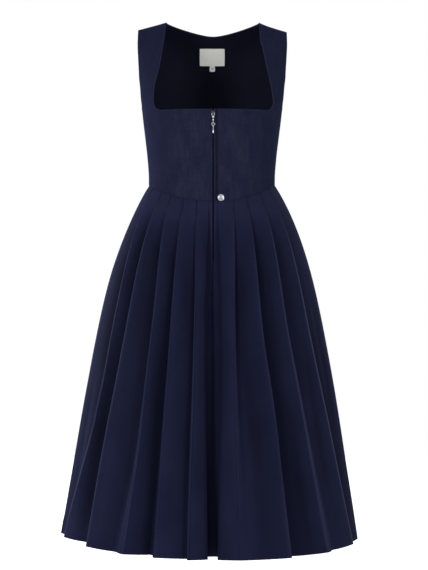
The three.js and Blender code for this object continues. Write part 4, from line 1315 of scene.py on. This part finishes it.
STITCH_PITCH = 0.0031
STITCH = (0.00105, 0.00022, 0.00018)
EDGE_TO_STITCH = 0.0024
LABEL_STITCH_PITCH = 0.0024
LABEL_EDGE_TO_STITCH = 0.0016
END_CLEAR = 0.002  # how far a line of stitches stops before the cloth's end


def stitches(name, places):
    pattern = primitive("uv_sphere", "stitch", STITCH, segments=6, ring_count=4)
    return copies_along(name, pattern, places)


def surface_normals(grid):
    across = np.gradient(grid, axis=1)
    upward = np.gradient(grid, axis=0)
    return unit(np.cross(across, upward))


def edge_stitch_places():
    """Stitches just inside the neckline and the armholes, and down the lap beside the zip."""
    places = []
    outside = np.linspace(0, 1, FRONT_OUTER_COLUMNS)
    back = back_grid(np.linspace(-1, 1, 2 * BACK_COLUMNS - 1))
    back_out = surface_normals(back)
    for side in (1, -1):
        strap = strap_grid(side, outside)
        out = surface_normals(strap) * side
        lower = lower_grid(FRONT, side * middle_angles(side))
        lower_out = surface_normals(lower) * side
        neck = np.concatenate([lower[-1, :-1], strap[:-2, 0]])
        neck_out = np.concatenate([lower_out[-1, :-1], out[:-2, 0]])
        places += places_along(neck, neck_out, STITCH_PITCH, -side * EDGE_TO_STITCH)
        places += places_along(strap[2:-2, -1], out[2:-2, -1], STITCH_PITCH, side * EDGE_TO_STITCH)
        column = -1 if side < 0 else 0
        armhole, armhole_out = back[2:-2, column], back_out[2:-2, column]
        places += places_along(armhole, armhole_out, STITCH_PITCH, -side * EDGE_TO_STITCH)
    neck_columns = np.abs(back[-1, :, 0]) < NECK_HALF - 0.003
    places += places_along(back[-1, neck_columns], back_out[-1, neck_columns], STITCH_PITCH, -EDGE_TO_STITCH)
    return places


def lap_stitch_places():
    z = np.linspace(WAIST_FRONT_Z + END_CLEAR, NECKLINE_Z - EDGE_TO_STITCH, 60)
    grids = [figure_point(FRONT, angle_at(LAP + shift, z), z) for shift in (-0.001, 0, 0.001)]
    line = np.stack(grids, axis=1)
    out = surface_normals(line)
    return places_along(line[:, 1], out[:, 1], STITCH_PITCH, 0, -LAP_GROOVE)


def label_stitch_places():
    places = []
    for side in (-1, 1):
        z = np.linspace(LABEL_BOTTOM_Z + END_CLEAR, LABEL_TOP_Z - END_CLEAR, 30)
        x = np.full_like(z, LABEL_X + side * (LABEL_WIDTH / 2 - LABEL_EDGE_TO_STITCH))
        line = lining_point(x, z)
        inward = np.tile([0.0, -1.0, 0.0], (len(z), 1))
        places += places_along(line, inward, LABEL_STITCH_PITCH, 0, LABEL_INSIDE)
    return places


def zip_teeth():
    """The coil in the slit: small loops across the closure, just in front of the tape."""
    line = closure_line(np.linspace(-1, 0.985, 400))
    upward = unit(np.gradient(line, axis=0))
    outward = np.stack([0 * upward[:, 0], -upward[:, 2], upward[:, 1]], axis=1)
    places = places_along(line, outward, TOOTH_PITCH, 0, TOOTH_FORWARD - BODICE_WALL - TAPE_SET_BACK)
    tooth = primitive("uv_sphere", "tooth", TOOTH, segments=8, ring_count=6)
    return copies_along("zip_coil", tooth, places)


SIZE_NUMBER = "38"
FIGURE_HEIGHT = 0.005
FIGURE_RELIEF = 0.00008


def size_number():
    """The size, woven into the tab as plain figures."""
    bpy.ops.object.select_all(action="DESELECT")
    bpy.ops.object.text_add()
    obj = bpy.context.object
    obj.name = "size_number_thread"
    obj.data.body = SIZE_NUMBER
    obj.data.size = FIGURE_HEIGHT
    obj.data.extrude = FIGURE_RELIEF
    obj.data.align_x = "CENTER"
    obj.data.align_y = "CENTER"
    bpy.ops.object.convert(target="MESH")
    edit(obj)
    bpy.ops.mesh.remove_doubles(threshold=1e-6)
    bpy.ops.mesh.normals_make_consistent(inside=False)
    leave_edit()
    z = np.float64(TAB_TOP_Z - TAB_LENGTH / 2)
    at = Vector(lining_point(np.float64(LABEL_X), z))
    above = Vector(lining_point(np.float64(LABEL_X), z + 0.002))
    tilt = math.atan2(above.y - at.y, above.z - at.z)
    depth = LABEL_INSIDE + LABEL_WALL + 0.0004
    place = Matrix.Translation(at + Vector((0, -depth, 0)))
    obj.data.transform(place @ Matrix.Rotation(math.pi / 2 - tilt, 4, "X"))
    return obj


# ---------------------------------------------------------------- materials


class Nodes:
    """Adds nodes to a tree, each with its settings and with links or values for its inputs."""

    def __init__(self, tree):
        self.tree = tree
        tree.nodes.clear()

    def fill(self, node, inputs):
        for key, value in dict(inputs).items():
            if isinstance(value, bpy.types.NodeSocket):
                self.tree.links.new(value, node.inputs[key])
            else:
                node.inputs[key].default_value = value

    def add(self, kind, inputs=(), **settings):
        node = self.tree.nodes.new(kind if kind.startswith("NodeGroup") else "ShaderNode" + kind)
        for key, value in settings.items():
            setattr(node, key, value)
        self.fill(node, inputs)
        return node

    def math(self, operation, a, b=0.0):
        return self.add("Math", {0: a, 1: b}, operation=operation).outputs[0]

    def plus(self, a, b):
        return self.math("ADD", a, b)

    def times(self, a, b):
        return self.math("MULTIPLY", a, b)

    def blend(self, factor, a, b):
        """A colour between two others."""
        node = self.add("Mix", {0: factor, 6: a, 7: b}, data_type="RGBA", clamp_factor=True)
        return node.outputs[2]

    def scaled(self, vector, x, y, z=1.0):
        return self.add("VectorMath", {0: vector, 1: (x, y, z)}, operation="MULTIPLY").outputs[0]

    def noise(self, vector, detail=3.0, roughness=0.55):
        inputs = {"Vector": vector, "Scale": 1.0, "Detail": detail, "Roughness": roughness}
        return self.add("TexNoise", inputs, noise_dimensions="3D").outputs["Fac"]

    def stretch(self, value, low, high, to_low=0.0, to_high=1.0):
        inputs = {0: value, 1: low, 2: high, 3: to_low, 4: to_high}
        return self.add("MapRange", inputs, clamp=True).outputs[0]

    def bump(self, height, distance, strength):
        return self.add("Bump", {"Height": height, "Distance": distance, "Strength": strength}).outputs[0]


def new_group(name, inputs, outputs):
    """A shader group whose inputs are vectors, or floats with a value, and the nodes to fill it with."""
    group = bpy.data.node_groups.new(name, "ShaderNodeTree")
    nodes = Nodes(group)
    for key, value in inputs.items():
        kind = "NodeSocketVector" if value is None else "NodeSocketFloat"
        socket = group.interface.new_socket(name=key, in_out="INPUT", socket_type=kind)
        if value is not None:
            socket.default_value = value
    for key in outputs:
        group.interface.new_socket(name=key, in_out="OUTPUT", socket_type="NodeSocketFloat")
    given = nodes.add("NodeGroupInput")
    return group, nodes, given.outputs, nodes.add("NodeGroupOutput")


def weave_group():
    """Plain weave: threads over and under each other, with the place on the cloth in metres."""
    inputs = {"Cloth": None, "Threads Across": 1800.0, "Threads Up": 1600.0}
    group, n, given, result = new_group("weave", inputs, ["Height"])
    parts = n.add("SeparateXYZ", {0: given["Cloth"]}).outputs
    across = n.times(parts[0], given["Threads Across"])
    up = n.times(parts[1], given["Threads Up"])
    waves = [n.math("SINE", n.times(n.math("FRACT", a), math.pi)) for a in (across, up)]
    cell = n.plus(n.math("FLOOR", across), n.math("FLOOR", up))
    over = n.math("FLOORED_MODULO", cell, 2.0)
    warp = n.times(waves[0], n.plus(n.times(waves[1], 0.4), 0.6))
    weft = n.times(waves[1], n.plus(n.times(waves[0], 0.4), 0.6))
    under = n.math("SUBTRACT", 1.0, over)
    n.fill(result, {"Height": n.plus(n.times(warp, over), n.times(weft, under))})
    return group


def slub_group():
    """Thick and thin places in the threads, as streaks up and across the cloth."""
    group, n, given, result = new_group("slubs", {"Cloth": None}, ["Streaks", "Cross Streaks"])
    cloth = given["Cloth"]
    fine = n.noise(n.scaled(cloth, 700, 26), 2.0)
    broad = n.noise(n.scaled(cloth, 230, 14), 3.0)
    streaks = n.plus(n.times(fine, 0.6), n.times(broad, 0.4))
    patches = n.stretch(n.noise(n.scaled(cloth, 34, 17), 2.0), 0.36, 0.62, 0.25, 1.0)
    sideways = n.math("ABSOLUTE", n.add("SeparateXYZ", {0: cloth}).outputs[0])
    patches = n.times(patches, n.stretch(sideways, 0.07, 0.115, 1.0, 0.35))
    cross = n.noise(n.scaled(cloth, 36, 620), 2.0)
    for name, value in (("Streaks", streaks), ("Cross Streaks", cross)):
        n.fill(result, {name: n.times(n.stretch(value, 0.38, 0.62), patches)})
    return group


def mottle_group():
    """Slow and fine clouding, for cloth that has been pressed and handled."""
    group, n, given, result = new_group("mottle", {"Cloth": None}, ["Slow", "Fine"])
    slow = n.noise(n.scaled(given["Cloth"], 16, 9), 3.0)
    fine = n.noise(n.scaled(given["Cloth"], 240, 150), 4.0, 0.6)
    n.fill(result, {"Slow": n.stretch(slow, 0.3, 0.7), "Fine": n.stretch(fine, 0.3, 0.7)})
    return group


GROUPS = {"weave": weave_group(), "slubs": slub_group(), "mottle": mottle_group()}


def new_material(name):
    material = bpy.data.materials.new(name)
    material.use_nodes = True
    nodes = Nodes(material.node_tree)
    shader = nodes.add("BsdfPrincipled")
    nodes.add("OutputMaterial", {"Surface": shader.outputs[0]}, is_active_output=True)
    return material, nodes, shader


def use_group(nodes, name, **inputs):
    return nodes.add("Group", inputs, node_tree=GROUPS[name]).outputs


def opaque(colour):
    return (*colour, 1.0)


def cloth_material(
    name,
    dark,
    light,
    threads=(1800, 1600),
    slubs=0.3,
    cross=0.1,
    slow=0.2,
    fine=0.2,
    weave=0.25,
    roughness=0.85,
    sheen=0.06,
    sheen_tint=(0.36, 0.42, 1.0),
    specular=0.02,
    relief=0.00012,
    painted_shade=0.0,
    painted_highlight=0.0,
    highlight_colour=(0.04, 0.045, 0.09),
):
    """Woven cloth whose colour goes from dark to light with its threads, slubs and clouding, with painted
    shade and highlight.
    """
    material, n, shader = new_material(name)
    cloth = n.add("UVMap", uv_map="cloth").outputs[0]
    counts = {"Threads Across": threads[0], "Threads Up": threads[1]}
    thread = use_group(n, "weave", Cloth=cloth, **counts)
    slub = use_group(n, "slubs", Cloth=cloth)
    mottle = use_group(n, "mottle", Cloth=cloth)
    terms = [
        (slub["Streaks"], slubs),
        (slub["Cross Streaks"], cross),
        (mottle["Slow"], slow),
        (mottle["Fine"], fine),
        (thread["Height"], weave),
    ]
    share = 0.0
    for socket, weight in terms:
        share = n.plus(share, n.times(socket, weight))
    share = n.math("DIVIDE", share, sum(weight for _, weight in terms))
    colour = n.blend(share, opaque(dark), opaque(light))
    ridge = n.add("Attribute", attribute_name="ridge").outputs["Fac"]
    # Painted shade towards black below the middle ridge, and a painted highlight towards a lighter colour
    # above it.
    colour = n.blend(n.stretch(ridge, 0, NEUTRAL, painted_shade, 0), colour, opaque((0, 0, 0)))
    colour = n.blend(n.stretch(ridge, NEUTRAL, 1, 0, painted_highlight), colour, opaque(highlight_colour))
    height = n.plus(n.times(thread["Height"], 0.5), n.times(slub["Streaks"], 0.5 * slubs))
    n.fill(
        shader,
        {
            "Base Color": colour,
            "Roughness": n.stretch(thread["Height"], 0, 1, roughness + 0.06, roughness - 0.06),
            "Normal": n.bump(height, relief, 1.0),
            "Sheen Weight": sheen,
            "Sheen Roughness": 0.45,
            "Sheen Tint": opaque(sheen_tint),
            "Specular IOR Level": specular,
        },
    )
    return material


def metal_material(name, bright, dull, roughness):
    """Polished metal, duller and darker where it has tarnished, with fine scratches."""
    material, n, shader = new_material(name)
    place = n.add("TexCoord").outputs["Object"]
    tarnish = n.stretch(n.noise(n.scaled(place, 700, 700, 700), 4.0), 0.35, 0.7)
    scratch = n.noise(n.scaled(place, 9000, 2500, 2500), 2.0)
    rough = n.stretch(tarnish, 0, 1, roughness, roughness + 0.16)
    n.fill(
        shader,
        {
            "Base Color": n.blend(tarnish, opaque(bright), opaque(dull)),
            "Roughness": n.plus(rough, n.times(scratch, 0.08)),
            "Normal": n.bump(scratch, 0.00002, 0.6),
            "Metallic": 1.0,
        },
    )
    return material


def thread_material(name, dark, light, sheen=0.1):
    """Sewing thread: the colour changes a little along it, and its twist shows as fine ribs."""
    material, n, shader = new_material(name)
    place = n.add("TexCoord").outputs["Object"]
    change = n.noise(n.scaled(place, 400, 400, 400), 2.0)
    ribs = n.add("TexWave", {"Vector": place, "Scale": 1500.0, "Distortion": 1.0}).outputs["Fac"]
    n.fill(
        shader,
        {
            "Base Color": n.blend(change, opaque(dark), opaque(light)),
            "Roughness": n.stretch(change, 0.3, 0.7, 0.5, 0.62),
            "Normal": n.bump(ribs, 0.00004, 0.7),
            "Sheen Weight": sheen,
            "Specular IOR Level": 0.08,
        },
    )
    return material


BODICE_CLOTH = cloth_material(
    "bodice_cloth",
    (0.0085, 0.0114, 0.0345),
    (0.0310, 0.0320, 0.0620),
    threads=(1500, 1350),
    slubs=0.9,
    cross=0.4,
    slow=0.15,
    fine=0.35,
    weave=0.35,
    painted_shade=0.75,
    painted_highlight=0.6,
)
SKIRT_CLOTH = cloth_material(
    "skirt_cloth",
    (0.0090, 0.0107, 0.0332),
    (0.0172, 0.0197, 0.0540),
    threads=(2600, 2300),
    slubs=0.15,
    cross=0.1,
    slow=0.5,
    fine=0.3,
    roughness=0.7,
    specular=0.03,
    relief=0.00006,
    painted_shade=0.9,
    painted_highlight=0.8,
    highlight_colour=(0.07, 0.078, 0.14),
)
LINING_CLOTH = cloth_material(
    "lining_cloth",
    (0.0045, 0.0050, 0.0105),
    (0.0080, 0.0090, 0.0180),
    threads=(2900, 2900),
    slubs=0.05,
    slow=0.3,
    sheen=0.1,
    roughness=0.75,
    relief=0.00005,
)
LABEL_CLOTH = cloth_material(
    "label_cloth",
    (0.84, 0.84, 0.79),
    (0.93, 0.93, 0.89),
    threads=(3200, 2200),
    slubs=0.1,
    slow=0.3,
    sheen=0.2,
    sheen_tint=(1, 1, 1),
    roughness=0.65,
    relief=0.00008,
)
TAPE_CLOTH = cloth_material(
    "tape_cloth",
    (0.0015, 0.0017, 0.0040),
    (0.0040, 0.0044, 0.0090),
    threads=(1200, 1600),
    slubs=0.05,
    sheen=0.1,
)
SILVER = metal_material("old_silver", (0.88, 0.89, 0.94), (0.42, 0.42, 0.45), 0.26)
# The slider's silver, darkened all over as painted shade.
SHADED_SILVER = metal_material("shaded_silver", (0.11, 0.11, 0.13), (0.04, 0.04, 0.05), 0.42)
BUTTON_METAL = metal_material("button_metal", (0.78, 0.78, 0.82), (0.34, 0.34, 0.37), 0.24)
BLUE_THREAD = thread_material("blue_thread", (0.016, 0.018, 0.042), (0.034, 0.038, 0.078))
COIL_THREAD = thread_material("coil_thread", (0.0015, 0.0017, 0.0040), (0.0045, 0.0050, 0.0110), 0.05)
LABEL_THREAD = thread_material("label_thread", (0.60, 0.60, 0.56), (0.74, 0.74, 0.70))
FIGURE_THREAD = thread_material("figure_thread", (0.02, 0.02, 0.03), (0.05, 0.05, 0.06))

# ---------------------------------------------------------------- pieces


def finish_piece(obj, material, nodes=(), body="garment"):
    obj.data.materials.clear()
    obj.data.materials.append(material)
    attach(obj, body)
    if nodes:
        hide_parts(*nodes)
    return obj


for side_of_wearer, quarter in ((1, "front_left"), (-1, "front_right")):
    piece = skirt_front(side_of_wearer, quarter)
    finish_piece(piece, SKIRT_CLOTH, [f"skirt_{quarter}"])
    piece = bodice_front(side_of_wearer, quarter)
    finish_piece(piece, BODICE_CLOTH, [f"bodice_{quarter}"])

piece = finish_piece(skirt_back(), SKIRT_CLOTH, ["skirt_back"])
piece = finish_piece(bodice_back(), BODICE_CLOTH, ["bodice_back"])
piece = finish_piece(back_lining(), LINING_CLOTH, ["back_lining"])

piece = lining_patch("neck_label_cloth", LABEL_WIDTH, LABEL_BOTTOM_Z, LABEL_TOP_Z, 0.0006)
finish_piece(piece, LABEL_CLOTH, ["neck_label"])
piece = lining_patch("size_tab_cloth", TAB_WIDTH, TAB_TOP_Z - TAB_LENGTH, TAB_TOP_Z, 0.0002)
finish_piece(piece, LABEL_CLOTH, ["size_tab"])
finish_piece(size_number(), FIGURE_THREAD)

piece = finish_piece(zip_tape(), TAPE_CLOTH, ["zip_tape"])
finish_piece(zip_teeth(), COIL_THREAD)

finish_piece(slider(), SHADED_SILVER, ["zip_slider"])
finish_piece(pull(), SILVER, ["zip_pull"], "zip_pull")
finish_piece(button(), BUTTON_METAL, ["apron_button"])

finish_piece(stitches("edge_stitches", edge_stitch_places()), BLUE_THREAD)
finish_piece(stitches("lap_stitches", lap_stitch_places()), BLUE_THREAD)
finish_piece(stitches("label_stitches", label_stitch_places()), LABEL_THREAD)

# ---------------------------------------------------------------- floor and light

FLOOR_Z = -1.3


def add_floor():
    material, n, shader = new_material("pale_floor")
    inputs = {"Base Color": (0.8, 0.8, 0.8, 1), "Roughness": 0.9, "Specular IOR Level": 0.1}
    n.fill(shader, inputs)
    seen = n.add("LightPath").outputs["Is Camera Ray"]
    n.fill(shader, {"Emission Color": (1, 1, 1, 1), "Emission Strength": seen})
    floor = primitive("plane", "floor", (3, 3, 1), (0, 0, FLOOR_Z))
    floor.data.materials.append(material)


def add_light(name, kind, place, target, power, **settings):
    data = bpy.data.lights.new(name, kind)
    data.energy = power
    for key, value in settings.items():
        setattr(data, key, value)
    light = bpy.data.objects.new(name, data)
    light.location = place
    light.rotation_euler = (Vector(target) - Vector(place)).to_track_quat("-Z", "Y").to_euler()
    link_object(light)


WORLD_LIGHT = 0.17  # from the front
WORLD_SIDES = (0.26, 0.12)  # what the wearer's right and left sides add to it
WORLD_GLOSS = 0.5


def add_world():
    world = bpy.data.worlds.new("white_studio")
    bpy.context.scene.world = world
    world.use_nodes = True
    n = Nodes(world.node_tree)
    path = n.add("LightPath").outputs
    direction = n.add("TexCoord").outputs["Generated"]
    across = n.add("SeparateXYZ", {0: direction}).outputs[0]
    sideways = n.times(n.times(across, across), n.stretch(across, -1, 1, *WORLD_SIDES))
    light = n.plus(sideways, WORLD_LIGHT)
    strength = n.math("MAXIMUM", n.times(path["Is Glossy Ray"], WORLD_GLOSS), light)
    strength = n.math("MAXIMUM", path["Is Camera Ray"], strength)
    background = n.add("Background", {"Color": (1, 1, 1, 1), "Strength": strength})
    n.add("OutputWorld", {"Surface": background.outputs[0]})


add_floor()
add_world()
DISK = {"shape": "DISK", "size": 1.2}
SMALL_DISK = {"shape": "DISK", "size": 1.0}
add_light("key", "AREA", (-2.2, -2.6, 0.2), (0, 0, -0.6), 50, **DISK)
add_light("fill", "AREA", (2.2, -2.6, 0.0), (0, 0, -0.6), 34, **DISK)
add_light("rim_left", "AREA", (-2.3, 1.1, 0.0), (0, 0, -0.8), 34, **SMALL_DISK, color=(0.8, 0.88, 1.0))
add_light("rim_right", "AREA", (2.3, 1.1, 0.9), (0, 0, -0.5), 10, **SMALL_DISK)
BEAM = {"spot_size": math.radians(3.4), "spot_blend": 1.0, "shadow_soft_size": 0.05}
add_light("label_light", "SPOT", (0.1, -2.4, 0.3), (LABEL_X, 0.09, -0.068), 60, **BEAM)
bpy.context.scene.view_settings.view_transform = "Standard"
